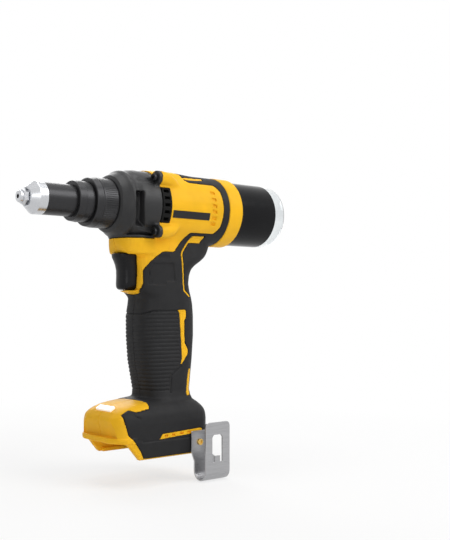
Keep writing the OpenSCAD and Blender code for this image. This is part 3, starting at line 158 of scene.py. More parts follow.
def surface(field, low, high, step):
    """Vertices and quads of the field's zero surface, by surface nets, settled onto it."""
    axes = [np.arange(a - 2 * step, b + 2.5 * step, step) for a, b in zip(low, high)]
    origin = np.array([a[0] for a in axes])
    shape = tuple(len(a) for a in axes)
    grid = np.ix_(*axes)
    value = np.broadcast_to(field(*grid), shape).astype(np.float32)
    inside = value < 0
    counts = sum(
        inside[i:shape[0] - 1 + i, j:shape[1] - 1 + j, k:shape[2] - 1 + k].astype(np.uint8)
        for i, j, k in CORNERS
    )
    cells = (counts > 0) & (counts < 8)
    index = np.argwhere(cells)
    number = np.full(cells.shape, -1, np.int64)
    number[cells] = np.arange(len(index))
    total = np.zeros((len(index), 3))
    hits = np.zeros(len(index))
    for corner in CORNERS:
        for axis in range(3):
            if corner[axis]:
                continue
            other = list(corner)
            other[axis] = 1
            a = value[tuple((index + corner).T)]
            b = value[tuple((index + other).T)]
            crossed = (a < 0) != (b < 0)
            t = np.where(crossed, a / np.where(crossed, a - b, 1), 0)
            point = np.tile(np.array(corner, float), (len(index), 1))
            point[:, axis] += t
            total += point * crossed[:, None]
            hits += crossed
    points = origin + step * (index + total / hits[:, None])
    quads = []
    for axis in range(3):
        u, v = (axis + 1) % 3, (axis + 2) % 3
        first = [slice(1, -1)] * 3
        first[axis] = slice(0, -1)
        second = [slice(1, -1)] * 3
        second[axis] = slice(1, None)
        a, b = inside[tuple(first)], inside[tuple(second)]
        for mask, flip in ((a & ~b, False), (~a & b, True)):
            at = np.argwhere(mask)
            at[:, u] += 1
            at[:, v] += 1
            ring = []
            for du, dv in ((-1, -1), (0, -1), (0, 0), (-1, 0)):
                cell = at.copy()
                cell[:, u] += du
                cell[:, v] += dv
                ring.append(number[tuple(cell.T)])
            quads.append(np.stack(ring[::-1] if flip else ring, 1))
    quads = np.concatenate(quads)
    small = SETTLE_PROBE * step
    for _ in range(SETTLE_PASSES):
        here = field(*points.T)
        slope = np.stack([
            (field(*(points + small * np.eye(3)[axis]).T) - here) / small for axis in range(3)
        ], 1)
        length = np.maximum((slope ** 2).sum(1), LEAST_SLOPE)
        move = -(here / length)[:, None] * slope
        reach = np.maximum(np.linalg.norm(move, axis=1), 1e-9)
        points = points + move * np.minimum(1, SETTLE_REACH * step / reach)[:, None]
    return points, quads


MOST_TRIANGLES = 150000


def piece(name, field, low, high, step, material, slot, body):
    """A meshed field as one smooth piece that rides on a body."""
    points, quads = surface(field, low, high, step)
    mesh = bpy.data.meshes.new(name)
    mesh.from_pydata([], [], [])
    mesh.vertices.add(len(points))
    mesh.vertices.foreach_set("co", (points * MM).astype(np.float32).ravel())
    mesh.loops.add(4 * len(quads))
    mesh.loops.foreach_set("vertex_index", quads.astype(np.int32).ravel())
    mesh.polygons.add(len(quads))
    mesh.polygons.foreach_set("loop_start", np.arange(0, 4 * len(quads), 4, dtype=np.int32))
    mesh.update(calc_edges=True)
    mesh.validate()
    obj = bpy.data.objects.new(name, mesh)
    bpy.context.collection.objects.link(obj)
    if 2 * len(quads) > MOST_TRIANGLES:
        thin = obj.modifiers.new("thin", "DECIMATE")
        thin.ratio = MOST_TRIANGLES / (2 * len(quads))
        made = obj.evaluated_get(bpy.context.evaluated_depsgraph_get())
        obj.data = bpy.data.meshes.new_from_object(made)
        obj.modifiers.clear()
    dress(obj, material)
    keep_creases(obj)
    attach(obj, body)
    return obj


# Smooth shading that keeps sharp edges, as a modifier
CREASE_ANGLE = math.radians(38)


def crease_group():
    group = bpy.data.node_groups.new("smooth_with_creases", "GeometryNodeTree")
    group.interface.new_socket("Geometry", in_out="INPUT", socket_type="NodeSocketGeometry")
    group.interface.new_socket("Geometry", in_out="OUTPUT", socket_type="NodeSocketGeometry")
    start = group.nodes.new("NodeGroupInput")
    end = group.nodes.new("NodeGroupOutput")
    faces = group.nodes.new("GeometryNodeSetShadeSmooth")
    edges = group.nodes.new("GeometryNodeSetShadeSmooth")
    edges.domain = "EDGE"
    edges.inputs["Shade Smooth"].default_value = False
    angle = group.nodes.new("GeometryNodeInputMeshEdgeAngle")
    sharp = group.nodes.new("FunctionNodeCompare")
    sharp.operation = "GREATER_THAN"
    sharp.inputs[1].default_value = CREASE_ANGLE
    link = group.links.new
    link(start.outputs[0], faces.inputs["Geometry"])
    link(faces.outputs[0], edges.inputs["Geometry"])
    link(angle.outputs["Unsigned Angle"], sharp.inputs[0])
    link(sharp.outputs[0], edges.inputs["Selection"])
    link(edges.outputs[0], end.inputs[0])
    return group


CREASES = crease_group()


def keep_creases(obj):
    smooth = obj.modifiers.new("smooth", "NODES")
    smooth.node_group = CREASES


def dress(obj, material):
    obj.data.materials.clear()
    obj.data.materials.append(material)


# Materials
COLOUR_SPREAD = (0.35, 0.65)
ROUGH_SPREAD = (0.3, 0.7)
MOULD_TONES = (0.94, 1.05)
MOULD_COLOUR_GRAIN = 45
MOULD_GLOSS_GRAIN = 160
MOULD_GLOSS = (-0.05, 0.06)
METAL_TONES = (0.9, 1.06)
METAL_GLOSS = (-0.07, 0.09)
METAL_STRENGTH = 0.25


def shader(name, colour, rough, **sockets):
    """A principled material with its constants set on the shader itself."""
    material = bpy.data.materials.new(name)
    material.use_nodes = True
    surface_node = material.node_tree.nodes["Principled BSDF"]
    surface_node.inputs["Base Color"].default_value = (*colour, 1)
    surface_node.inputs["Roughness"].default_value = rough
    for socket, value in sockets.items():
        surface_node.inputs[socket.replace("_", " ")].default_value = value
    return material


def grain(material, scale, stretch=(1, 1, 1), detail=3.0):
    """Noise in the part's own coordinates, with its size in grains to the metre."""
    nodes = material.node_tree.nodes
    link = material.node_tree.links.new
    place = nodes.new("ShaderNodeTexCoord")
    mapping = nodes.new("ShaderNodeMapping")
    mapping.inputs["Scale"].default_value = stretch
    noise = nodes.new("ShaderNodeTexNoise")
    noise.inputs["Scale"].default_value = scale
    noise.inputs["Detail"].default_value = detail
    link(place.outputs["Object"], mapping.inputs["Vector"])
    link(mapping.outputs["Vector"], noise.inputs["Vector"])
    return noise


def vary_colour(material, noise, dark, light):
    nodes = material.node_tree.nodes
    link = material.node_tree.links.new
    ramp = nodes.new("ShaderNodeValToRGB")
    ramp.color_ramp.elements[0].position = COLOUR_SPREAD[0]
    ramp.color_ramp.elements[0].color = (*dark, 1)
    ramp.color_ramp.elements[1].position = COLOUR_SPREAD[1]
    ramp.color_ramp.elements[1].color = (*light, 1)
    link(noise.outputs["Fac"], ramp.inputs["Fac"])
    link(ramp.outputs["Color"], nodes["Principled BSDF"].inputs["Base Color"])


def vary_rough(material, noise, low, high):
    nodes = material.node_tree.nodes
    link = material.node_tree.links.new
    spread = nodes.new("ShaderNodeMapRange")
    spread.inputs["From Min"].default_value = ROUGH_SPREAD[0]
    spread.inputs["From Max"].default_value = ROUGH_SPREAD[1]
    spread.inputs["To Min"].default_value = low
    spread.inputs["To Max"].default_value = high
    link(noise.outputs["Fac"], spread.inputs["Value"])
    link(spread.outputs["Result"], nodes["Principled BSDF"].inputs["Roughness"])


def emboss(material, noise, height, strength):
    nodes = material.node_tree.nodes
    link = material.node_tree.links.new
    bump = nodes.new("ShaderNodeBump")
    bump.inputs["Strength"].default_value = strength
    bump.inputs["Distance"].default_value = height * MM
    link(noise.outputs["Fac"], bump.inputs["Height"])
    link(bump.outputs["Normal"], nodes["Principled BSDF"].inputs["Normal"])


def shades(colour, dark, light):
    return tuple(c * dark for c in colour), tuple(min(1, c * light) for c in colour)


def moulded(name, colour, rough, grains, height, strength, **sockets):
    """Moulded plastic or rubber: fine spark-eroded grain, slow colour and gloss variation."""
    material = shader(name, colour, rough, **sockets)
    slow = grain(material, MOULD_COLOUR_GRAIN, detail=4)
    vary_colour(material, slow, *shades(colour, *MOULD_TONES))
    gloss = grain(material, MOULD_GLOSS_GRAIN, detail=5)
    vary_rough(material, gloss, rough + MOULD_GLOSS[0], rough + MOULD_GLOSS[1])
    emboss(material, grain(material, grains), height, strength)
    return material


def turned_metal(name, colour, rough, metallic, stretch, height):
    """Metal with tool marks: noise squeezed across the marks' direction."""
    material = shader(name, colour, rough, Metallic=metallic)
    marks = grain(material, 1, stretch=stretch, detail=4)
    vary_colour(material, marks, *shades(colour, *METAL_TONES))
    vary_rough(material, marks, rough + METAL_GLOSS[0], rough + METAL_GLOSS[1])
    emboss(material, marks, height, METAL_STRENGTH)
    return material


YELLOW = (0.93, 0.50, 0.018)
BLACK = (0.016, 0.016, 0.017)
ROUND_MARKS = (4200, 6, 6)
LONG_MARKS = (60, 60, 2600)
FINE_MARKS = (900, 900, 900)

LOOKS = {
    "yellow_plastic": moulded(
        "yellow_plastic", YELLOW, 0.46, 1500, 0.03, 0.18, Specular_IOR_Level=0.12
    ),
    "black_rubber": moulded("black_rubber", BLACK, 0.60, 1700, 0.05, 0.30, Specular_IOR_Level=0.2),
    "black_plastic": moulded(
        "black_plastic", (0.014, 0.014, 0.015), 0.36, 1500, 0.03, 0.2, Specular_IOR_Level=0.25
    ),
    "trigger_black": moulded(
        "trigger_black", (0.006, 0.006, 0.007), 0.30, 1500, 0.03, 0.15, Specular_IOR_Level=0.18
    ),
    "vent_black": moulded(
        "vent_black", (0.016, 0.016, 0.016), 0.5, 1500, 0.03, 0.15, Specular_IOR_Level=0.02
    ),
    "grey_plastic": moulded(
        "grey_plastic", (0.022, 0.022, 0.023), 0.44, 1300, 0.05, 0.30, Specular_IOR_Level=0.3
    ),
    "black_metal": turned_metal("black_metal", (0.030, 0.030, 0.032), 0.34, 0.6, ROUND_MARKS, 0.01),
    "bright_steel": turned_metal("bright_steel", (0.58, 0.59, 0.61), 0.24, 1.0, ROUND_MARKS, 0.004),
    "hook_steel": turned_metal("hook_steel", (0.40, 0.40, 0.41), 0.34, 1.0, LONG_MARKS, 0.008),
    "plain_steel": turned_metal("plain_steel", (0.60, 0.61, 0.63), 0.32, 1.0, FINE_MARKS, 0.01),
    "dark_steel": turned_metal("dark_steel", (0.030, 0.030, 0.032), 0.36, 0.7, FINE_MARKS, 0.01),
    "laminated_iron": turned_metal("laminated_iron", (0.2, 0.2, 0.21), 0.45, 0.9, (2800, 5, 5), 0.05),
    "copper_wire": turned_metal("copper_wire", (0.72, 0.32, 0.14), 0.3, 1.0, FINE_MARKS, 0.03),
    "brass": turned_metal("brass", (0.80, 0.52, 0.14), 0.28, 1.0, FINE_MARKS, 0.01),
    "gloss_black": moulded(
        "gloss_black", (0.008, 0.008, 0.009), 0.14, 500, 0.01, 0.05, Specular_IOR_Level=0.1
    ),
    "clear_plastic": moulded(
        "clear_plastic", (0.93, 0.95, 0.96), 0.08, 300, 0.01, 0.05, Transmission_Weight=1.0, IOR=1.49
    ),
    # Painted glow: a weak emission makes the work light's lens show bright white, though the light is not
    # switched on
    "white_lens": moulded(
        "white_lens", (0.93, 0.94, 0.95), 0.3, 900, 0.02, 0.1,
        Emission_Color=(1, 1, 1, 1), Emission_Strength=0.3
    ),
    "circuit_board": moulded("circuit_board", (0.02, 0.16, 0.06), 0.35, 700, 0.02, 0.1),
    "red_lead": moulded("red_lead", (0.5, 0.02, 0.015), 0.4, 900, 0.02, 0.1),
    "aluminium": turned_metal("aluminium", (0.76, 0.77, 0.78), 0.34, 1.0, FINE_MARKS, 0.02),
}

# CAD nodes whose finish isn't the one of their slot
OWN_LOOKS = {
    "belt_hook": "hook_steel", "gear_case_screws": "dark_steel", "housing_screws": "dark_steel",
    "label_left": "black_plastic", "label_right": "black_plastic",
    "vent_insert_left": "vent_black", "vent_insert_right": "vent_black", "trigger": "trigger_black",
}


# Outside of the housing with its overmould
BARREL_R = 34.3
BARREL_X = (-217.6, -132.9)
CASE_BOTTOM = -32.0
Z_FOOT = -238
Z_BAY = -222

# Sections of the handle from its top down: z, front, back, half width, squareness
HANDLE = np.array([
    [-20, -119, -211, 18, 3], [-32, -119, -211.5, 19, 3], [-38, -119, -211, 19.8, 3],
    [-44, -119, -206.5, 20.8, 3.4], [-48, -119, -201.5, 21.4, 4], [-52, -119, -195, 21.8, 4.3],
    [-56, -119, -189, 22, 3.8], [-60, -119, -185, 22, 3.6], [-66, -119, -182.6, 22, 3.5],
    [-74, -118.6, -181.6, 22, 3.5], [-82, -120, -183, 22.3, 3.5], [-85, -123.6, -183.8, 22.5, 3.5],
    [-88, -126.2, -184.6, 22.6, 3.5],
    [-94, -125.3, -186.2, 22.8, 3.4], [-105, -123, -187.3, 23, 3.4], [-125, -123.1, -187.4, 23, 3.4],
    [-148, -125.1, -185.4, 23, 3.4], [-165, -128.6, -183.2, 22.7, 3.4], [-178, -131.5, -181.4, 22.8, 3.4],
    [-184, -132, -182.2, 24.4, 3.5], [-186, -129.5, -183, 25.6, 3.7], [-187.6, -107, -184, 26.6, 3.8],
    [-189.8, -96, -187.5, 29.9, 4],
    [-194, -88, -190.5, 33.6, 4.8], [-199, -83.8, -192.8, 36, 5.8], [-205, -81.9, -194.3, 36.8, 6.5],
    [-222, -81.9, -194.3, 36.8, 6.5], [-238, -82.5, -194.3, 36.8, 6.5],
])


def handle_table(step=0.25, reach=2.5, margin=8):
    """The sections as smooth columns over z, rising."""
    z = np.arange(HANDLE[-1, 0] - margin, HANDLE[0, 0] + margin, step)
    kernel = np.hanning(int(2 * reach / step) + 1)
    kernel /= kernel.sum()
    pad = len(kernel) // 2
    columns = []
    for column in range(1, 5):
        raw = np.interp(z, HANDLE[::-1, 0], HANDLE[::-1, column])
        columns.append(np.convolve(np.pad(raw, pad, mode="edge"), kernel, mode="valid"))
    front, back, half, square = columns
    middle, reach_x = (front + back) / 2, (front - back) / 2
    slopes = [np.gradient(c, z) for c in (middle, reach_x, half)]
    return z, [middle, reach_x, half, square] + slopes


TABLE_Z, TABLE = handle_table()


def handle(x, y, z):
    middle, hx, hy, n, d_middle, d_hx, d_hy = (np.interp(z, TABLE_Z, c) for c in TABLE)
    side = np.sign(x - middle)
    u = np.maximum(np.abs(x - middle) / hx, 1e-4)
    v = np.maximum(y / hy, 1e-4)
    g = np.exp(np.log(np.exp(n * np.log(u)) + np.exp(n * np.log(v))) / n)
    pu = np.exp((n - 1) * np.log(u / g))
    pv = np.exp((n - 1) * np.log(v / g))
    gz = pu * (u * d_hx + side * d_middle) / hx + pv * v * d_hy / hy
    steep = np.sqrt((pu / hx) ** 2 + (pv / hy) ** 2 + gz ** 2)
    return (g - 1) / steep


EAR_AT = [(28.5, 25.0), (28.5, -26.0)]
EAR_R = 6.6
EAR_FADE = 24.0
EAR_PULL = 0.24
EAR_BLEND = 2.5
HUMP_X = [-185, -178.8, -171, -164, -150, -140, -133]
HUMP_TOP = [32.5, 33.8, 34.8, 35.9, 36, 35, 34.2]
HUMP_HALF = 18.0
HUMP_BASE = 20.0
HUMP_EDGE = 5.0
HUMP_BLEND = 3.0
CHIN_MIDDLE = -121.6
CHIN_R = 22.0
CHIN_Z = [-46.9, -44.6, -38, -31.6]
CHIN_TOP = -24.0
CHIN_BACK = -150.0
CHIN_EDGE = 3.0
CHIN_LOW_EDGE = 2.5
CHIN_BLEND = 3.0
CHIN_FRONT = [-108.5, -105.2, -101.6, -99.2]
LIP_MIDDLE = -126.4
LIP_R = 15.2
LIP_TOP = -81.2
LIP_BACK = -140.0
LIP_IN = [0, 7, 14]
LIP_UNDER_Z = [-81.8, -84.1, -84.8]
LIP_FILLET = 1.5
LIP_SLOPE = 0.9
LIP_EDGE = 1.2
LIP_SEAM = 0.2
LIP_SEAM_HALF = 12.5

# Rounded corners of the foot, seen from above: direction and distance from its middle
FOOT_MIDDLE = -138.0
FOOT_TOP = -180.0
FOOT_CORNERS = [(0.847, 0.532, 60.3), (-0.81, 0.59, 59.2)]
FOOT_CORNER_SOFT = 4.0
FOOT_EDGE = 2.5
GRIP_BLEND = 6.0
FOOT_HALF = 37.15


def shell_front(x, y, middle, r):
    """Round-ended plan of the chin and the lip."""
    return np.where(x > middle, np.hypot(x - middle, y) - r, y - r)


def lip(x, y, z):
    """The wedge under the trigger."""
    plan = shell_front(x, y, LIP_MIDDLE, LIP_R)
    under = np.interp(-plan, LIP_IN, LIP_UNDER_Z)
    wedge = soft_max(plan, np.maximum(z - LIP_TOP, LIP_SLOPE * (under - z)), LIP_EDGE)
    return np.maximum(wedge, LIP_BACK - x)


def outside(x, y, z):
    y = np.abs(y)
    r = np.hypot(y, z)
    body = np.maximum(r - BARREL_R, span(x, *BARREL_X))
    fade = np.clip((BARREL_X[1] - x) / EAR_FADE, 0, 1)
    for ear_y, ear_z in EAR_AT:
        pull = 1 - EAR_PULL * fade * fade
        ear = np.hypot(y - ear_y * pull, z - ear_z * pull) - EAR_R
        ear = np.maximum(ear, span(x, BARREL_X[1] - EAR_FADE, BARREL_X[1]))
        body = soft_min(body, ear, EAR_BLEND)
    hump = soft_max(r - np.interp(x, HUMP_X, HUMP_TOP), y - HUMP_HALF, HUMP_EDGE)
    hump = np.maximum(np.maximum(hump, HUMP_BASE - z), span(x, HUMP_X[0], BARREL_X[1]))
    body = soft_min(body, hump, HUMP_BLEND)
    grip = soft_max(handle(x, y, z), Z_FOOT - z, FOOT_EDGE)
    for along, across, reach in FOOT_CORNERS:
        corner = along * (x - FOOT_MIDDLE) + across * y - reach
        grip = np.where(z < FOOT_TOP, soft_max(grip, corner, FOOT_CORNER_SOFT), grip)
    grip = np.maximum(grip, z - HANDLE[0, 0])
    body = soft_min(body, grip, GRIP_BLEND)
    ahead = x - np.interp(z, CHIN_Z, CHIN_FRONT)
    chin = soft_max(shell_front(x, y, CHIN_MIDDLE, CHIN_R), ahead, CHIN_EDGE)
    chin = soft_max(chin, CHIN_Z[0] - z, CHIN_LOW_EDGE)
    chin = np.maximum(np.maximum(chin, z - CHIN_TOP), CHIN_BACK - x)
    body = soft_min(body, chin, CHIN_BLEND)
    body = soft_min(body, lip(x, y, z), LIP_FILLET)
    return foot_front(body, x, y, z)


# Front of the foot: a visor over a sunk panel, and a ridge along the bay's mouth
FOOT_PANEL = [
    (-28, -217.2), (28, -217.2), (25.5, -209), (20.5, -203), (14, -199.8),
    (-14, -199.8), (-20.5, -203), (-25.5, -209),
]
FOOT_FRONT = -81.5
PANEL_Z = [-217, -200]
PANEL_DEPTH = [5.4, 0.9]
PANEL_EDGE = 0.6
RIDGE_Z = -219.6
RIDGE_HALF = 2.4
RIDGE_OUT = 1.3
RIDGE_BACK = -101.0
RIDGE_EDGE = 1.5
RIDGE_BLEND = 1.0


def foot_front(body, x, y, z):
    floor = FOOT_FRONT - np.interp(z, PANEL_Z, PANEL_DEPTH)
    panel = np.maximum(outline(y, z, FOOT_PANEL), floor - x)
    body = soft_max(body, -panel, PANEL_EDGE)
    ridge = soft_max(body - RIDGE_OUT, np.abs(z - RIDGE_Z) - RIDGE_HALF, RIDGE_EDGE)
    ridge = np.maximum(ridge, RIDGE_BACK - x)
    return np.maximum(soft_min(body, ridge, RIDGE_BLEND), y - FOOT_HALF)


# Where the black overmould lies, seen from the side
BLACK_OUTLINE = [
    (-95, -86.6), (-111, -85.9), (-115.5, -85.4), (-118.4, -83.7), (-121.3, -81),
    (-122.6, -77.6), (-123, -72),
    (-123, -63), (-123.8, -60.4), (-129, -53.8), (-141, -44.7), (-144, -43.9), (-156.4, -43.5),
    (-158, -42.6), (-174, -25.2), (-176, -24.2),
    (-203.8, -24), (-207, -20.5), (-208.8, -17), (-209.8, 0),
    (-208.8, 17), (-207, 20.5), (-203.8, 24), (-172.8, 24), (-168.8, 27), (-165.8, 60), (-225, 60),
    (-225, -46), (-214.5, -170), (-214.5, -236.8), (-109, -236.8), (-106.2, -230.2),
    (-100.2, -221.8), (-92.8, -213.7), (-90.4, -204), (-90.2, -196), (-97.7, -191.6), (-104.5, -194),
    (-119.1, -191.8), (-121.4, -188.2), (-124, -185.4), (-95, -181),
]
FOOT_CROWN_BACK = -124.0
FOOT_CROWN_SWEEP = -3.0
FOOT_CROWN_HALF = 26.5
FOOT_CROWN_Z = (-210, -180)

# Yellow marks that show through the overmould
PINSTRIPE = [(-180.2, -28.1), (-167.8, -42.6), (-166.2, -45.9), (-169.3, -81.2), (-176.8, -86.6)]
PINSTRIPE_HALF = 0.8
PINSTRIPE_END = [(-181.5, -26.9), (-195.8, -26.9), (-191, -33.6), (-176.2, -33.9)]
INLAY = [
    (-160.6, -99.9), (-169.3, -99.5), (-170.4, -100.9), (-170.7, -104.1), (-170.3, -108),
    (-168.5, -109.6), (-168.5, -125.9), (-169.1, -132.4), (-172, -136.4), (-173.6, -139.2),
    (-172.8, -143.5), (-164.5, -152.9), (-163.8, -152.5), (-165.4, -146.4), (-162.2, -103.5),
]
SLIVER = [
    (-179, -157.5), (-178, -176), (-176, -183.5), (-171.5, -183.5), (-170.8, -181), (-172.4, -175.2),
    (-173, -169.8), (-174.3, -162.2), (-175.5, -158),
]
FOOT_STRIP = [(-127.9, -220.5), (-131.4, -215.9), (-176.8, -213.9), (-180.6, -215.3), (-179, -217.7)]
TOP_INSET_X = (-199, -180)
TOP_INSET_HALF = 7.0
TOP_INSET_EDGE = 4.0
MARKS_FROM_Y = 9.0
MARKS_FROM_Z = 20.0
TOP_STRIP = [
    (-168, 19), (-173, 17.2), (-183, 16.4), (-196, 14.8), (-194.5, 18.6), (-180, 20.4), (-172, 20.6),
]


def yellow_marks(x, y, z):
    stripe = line(x, z, PINSTRIPE) - PINSTRIPE_HALF
    marks = np.minimum(stripe, outline(x, z, PINSTRIPE_END))
    marks = np.minimum(marks, outline(x, z, INLAY))
    marks = np.minimum(marks, outline(x, z, SLIVER))
    marks = np.minimum(marks, outline(x, z, FOOT_STRIP))
    marks = np.maximum(marks, MARKS_FROM_Y - y)
    inset = soft_max(span(x, *TOP_INSET_X), y - TOP_INSET_HALF, TOP_INSET_EDGE)
    inset = np.minimum(inset, outline(x, y, TOP_STRIP))
    return np.minimum(marks, np.maximum(inset, MARKS_FROM_Z - z))


def cover(x, y, z):
    """Negative where the black overmould lies."""
    y = np.abs(y)
    back = FOOT_CROWN_BACK - FOOT_CROWN_SWEEP * np.minimum(y / FOOT_CROWN_HALF, 1)
    crown = np.maximum(np.maximum(back - x, y - FOOT_CROWN_HALF), span(z, *FOOT_CROWN_Z))
    where = np.maximum(outline(x, z, BLACK_OUTLINE), -crown)
    where = np.maximum(where, -np.maximum(lip(x, y, z) - LIP_SEAM, y - LIP_SEAM_HALF))
    return np.maximum(where, -yellow_marks(x, y, z))


SKIN = 1.5
WALL = 2.9
BARREL_HOLLOW_X = (-225, -125)
GRIP_HOLLOW_TOP = -20.0
BAY_ROOF = 4.5
PROUD = 0.35
SEAM = 0.15
OVERLAP = 0.05
COVER_EDGE = 1.1
HALF_GAP = 0.03
BAY_HALF = 31.0
BAY_BACK = -179.5
BAY_MOUTH = [(-92, -222), (-106.5, -239), (-106.5, -260), (-60, -260), (-60, -222)]
RAIL_LOW = (-180.5, 27.5, -238)
RAIL_HIGH = (-107.5, 32, -234.4)
RAIL_EDGE = 0.5
TRIGGER_SPACE_X = (-129.6, -90.0)
TRIGGER_SPACE_TOP = -45.6
TRIGGER_PLAY = 0.5
BLOCK_SPACE = ((-176.1, -21.1, -245), (-127.9, 21.1, -202))
VENT_SPACE = ((-144.4, 15.2, -17.1), (-120, 60, 16.1))
EXHAUST_X = -198.1
EXHAUST_Z = (-14.8, -9.3, -3.1, 2.5, 8.8, 15.3)
EXHAUST_HALF = (2.9, 1.6)
EXHAUST_LEAN = 0.12
EXHAUST_SLANT = 0.16
EXHAUST_DEPTH = 1.6
EXHAUST_EDGE = 0.5
LIGHT_AT = (-91.7, 0.0, -192.3)
LIGHT_TILT = math.radians(30)
LIGHT_HALF = (3.1, 12.1)
LIGHT_RIM = 1.1
LIGHT_RIM_FLARE = 0.6
LIGHT_RIM_DEPTH = 0.2
LIGHT_DEPTH = 4.0
LIGHT_EDGE = 0.3
LIGHT_RIM_EDGE = 0.6
STRIP_MARKS = [(-135.4, -217.9), (-144.2, -217.5), (-154.0, -217.0), (-163.0, -216.6)]
STRIP_MARK_HALF = (2.0, 1.0)
STRIP_MARK_FROM_Y = 34.6
STRIP_MARK_EDGE = 0.3
SCREWS = [
    (-142, -41), (-190, -40), (-176, -82), (-134, -92), (-142, -172), (-173, -172),
    (-112, -206), (-185, -209),
]
SCREW_HEAD_R = 3.35
SCREW_HEAD_Y = 12.0
HOOK_SCREW = (-174.4, -227)
HOOK_SCREW_R = 2.05
HOOK_SCREW_FROM_Y = 30.0


# The trigger's section, seen from the front, with round lower corners
TRIGGER_HALF = 10.2
TRIGGER_LOW = -80.7
TRIGGER_CORNER = 7.0


def trigger_section(y, z):
    across = np.maximum(np.abs(y) - TRIGGER_HALF + TRIGGER_CORNER, 0)
    down = np.maximum(TRIGGER_LOW + TRIGGER_CORNER - z, 0)
    return np.hypot(across, down) - TRIGGER_CORNER


def light_frame(x, z):
    """Coordinates along and across the work light's tilted face."""
    c, s = math.cos(LIGHT_TILT), math.sin(LIGHT_TILT)
    dx, dz = x - LIGHT_AT[0], z - LIGHT_AT[2]
    return c * dx - s * dz, s * dx + c * dz


def openings(body, x, y, z):
    """The openings that both the housing and its overmould have."""
    bay = np.maximum(np.maximum(np.abs(y) - BAY_HALF, z - Z_BAY), BAY_BACK - x)
    body = np.maximum(body, -bay)
    body = np.maximum(body, -outline(x, z, BAY_MOUTH))
    slot = np.maximum(trigger_section(y, z) - TRIGGER_PLAY, z - TRIGGER_SPACE_TOP)
    body = np.maximum(body, -np.maximum(slot, span(x, *TRIGGER_SPACE_X)))
    body = np.maximum(body, -box(x, y, z, *BLOCK_SPACE))
    for at in SCREWS:
        bore = np.hypot(x - at[0], z - at[1]) - SCREW_HEAD_R
        body = np.maximum(body, -np.maximum(bore, y + SCREW_HEAD_Y))
    hole = np.maximum(np.hypot(x - HOOK_SCREW[0], z - HOOK_SCREW[1]) - HOOK_SCREW_R, HOOK_SCREW_FROM_Y - y)
    return np.maximum(body, -hole)


def yellow(side):
    def field(x, y, z):
        skin = outside(x, y, z)
        body = np.minimum(np.maximum(skin, -cover(x, y, z)), skin + SKIN)
        space = np.maximum(np.hypot(y, z) - BARREL_R + WALL, span(x, *BARREL_HOLLOW_X))
        hollow = np.maximum(skin + SKIN + WALL, z - GRIP_HOLLOW_TOP)
        hollow = np.maximum(hollow, Z_BAY + BAY_ROOF - z)
        body = np.maximum(body, -np.minimum(space, hollow))
        body = np.maximum(body, -np.maximum(BARREL_X[1] - x, CASE_BOTTOM - z))
        body = np.maximum(body, -box(x, np.abs(y), z, *VENT_SPACE))
        for at in EXHAUST_Z:
            slot = np.maximum(
                np.abs(x - EXHAUST_X + EXHAUST_SLANT * (z - at)) - EXHAUST_HALF[0],
                np.abs(z - at - EXHAUST_LEAN * (x - EXHAUST_X)) - EXHAUST_HALF[1],
            )
            slot = np.maximum(slot, BARREL_R - EXHAUST_DEPTH - np.hypot(y, z))
            body = soft_max(body, -slot, EXHAUST_EDGE)
        along, up = light_frame(x, z)
        lens = np.maximum(np.abs(along) - LIGHT_HALF[0], np.abs(y) - LIGHT_HALF[1])
        rim = lens - LIGHT_RIM - np.maximum(up, 0) * LIGHT_RIM_FLARE
        rim = np.maximum(rim, -LIGHT_RIM_DEPTH - up)
        body = soft_max(body, -np.maximum(lens, -LIGHT_DEPTH - up), LIGHT_EDGE)
        body = soft_max(body, -rim, LIGHT_RIM_EDGE)
        for at in STRIP_MARKS:
            mark = np.maximum(
                np.abs(x - at[0]) - STRIP_MARK_HALF[0], np.abs(z - at[1]) - STRIP_MARK_HALF[1]
            )
            mark = np.maximum(mark, STRIP_MARK_FROM_Y - np.abs(y))
            body = soft_max(body, -mark, STRIP_MARK_EDGE)
        body = openings(body, x, y, z)
        body = np.minimum(body, box(x, np.abs(y), z, RAIL_LOW, RAIL_HIGH, RAIL_EDGE))
        return np.maximum(body, HALF_GAP - side * y)
    return field


# Relief of the overmould
RIB_PITCH = 3.8
RIB_DEPTH = 0.6
RIB_SHARPNESS = 2.5
RIB_EDGE_WIDTH = 0.8
RIB_EDGE_DEPTH = 1.05
RIB_START = (0.9, 2.6)
THUMB_DEPTH = 0.9
THUMB_EDGE = 1.2
RIB_TOP = [(-100, -102.7), (-112, -103.6), (-119.8, -105.2), (-131.7, -100.9), (-162.4, -100.9)]
RIB_BACK = [(-162.4, -100.9), (-164.2, -154.6), (-152.6, -163.5), (-151.4, -179.4)]
RIB_AREA = RIB_TOP + RIB_BACK[1:] + [(-100, -179.4)]
THUMB = [
    (-131.3, -54.9), (-156.3, -54.2), (-156.9, -59.2), (-158.5, -71.6), (-157.6, -72.7), (-147.6, -73.1),
    (-145.9, -76.1), (-126.4, -76.4), (-125.8, -74.3), (-127.4, -61.6),
]
FOOT_CREASE = [(-108, -221.3), (-190, -221.6)]
FOOT_DIMPLE = [(-101.5, -197.4), (-105.9, -199.6)]
TOP_HOLE_X = -204.0
TOP_HOLE_R = 2.4
TOP_HOLE_DEPTH = 2.0
TOP_HOLE_EDGE = 0.8
TOP_HOLE_FROM_Z = 25.0
FOOT_SIDE_Y = (30, 33)
FOOT_CREASE_WIDTH = 0.9
FOOT_CREASE_DEPTH = 0.7
FOOT_SINK = 0.35
FOOT_SINK_LOW = (-221.4, -219.4)
FOOT_SINK_HIGH = (196, 200)
FOOT_DIMPLE_WIDTH = 1.0
FOOT_DIMPLE_DEPTH = 0.8


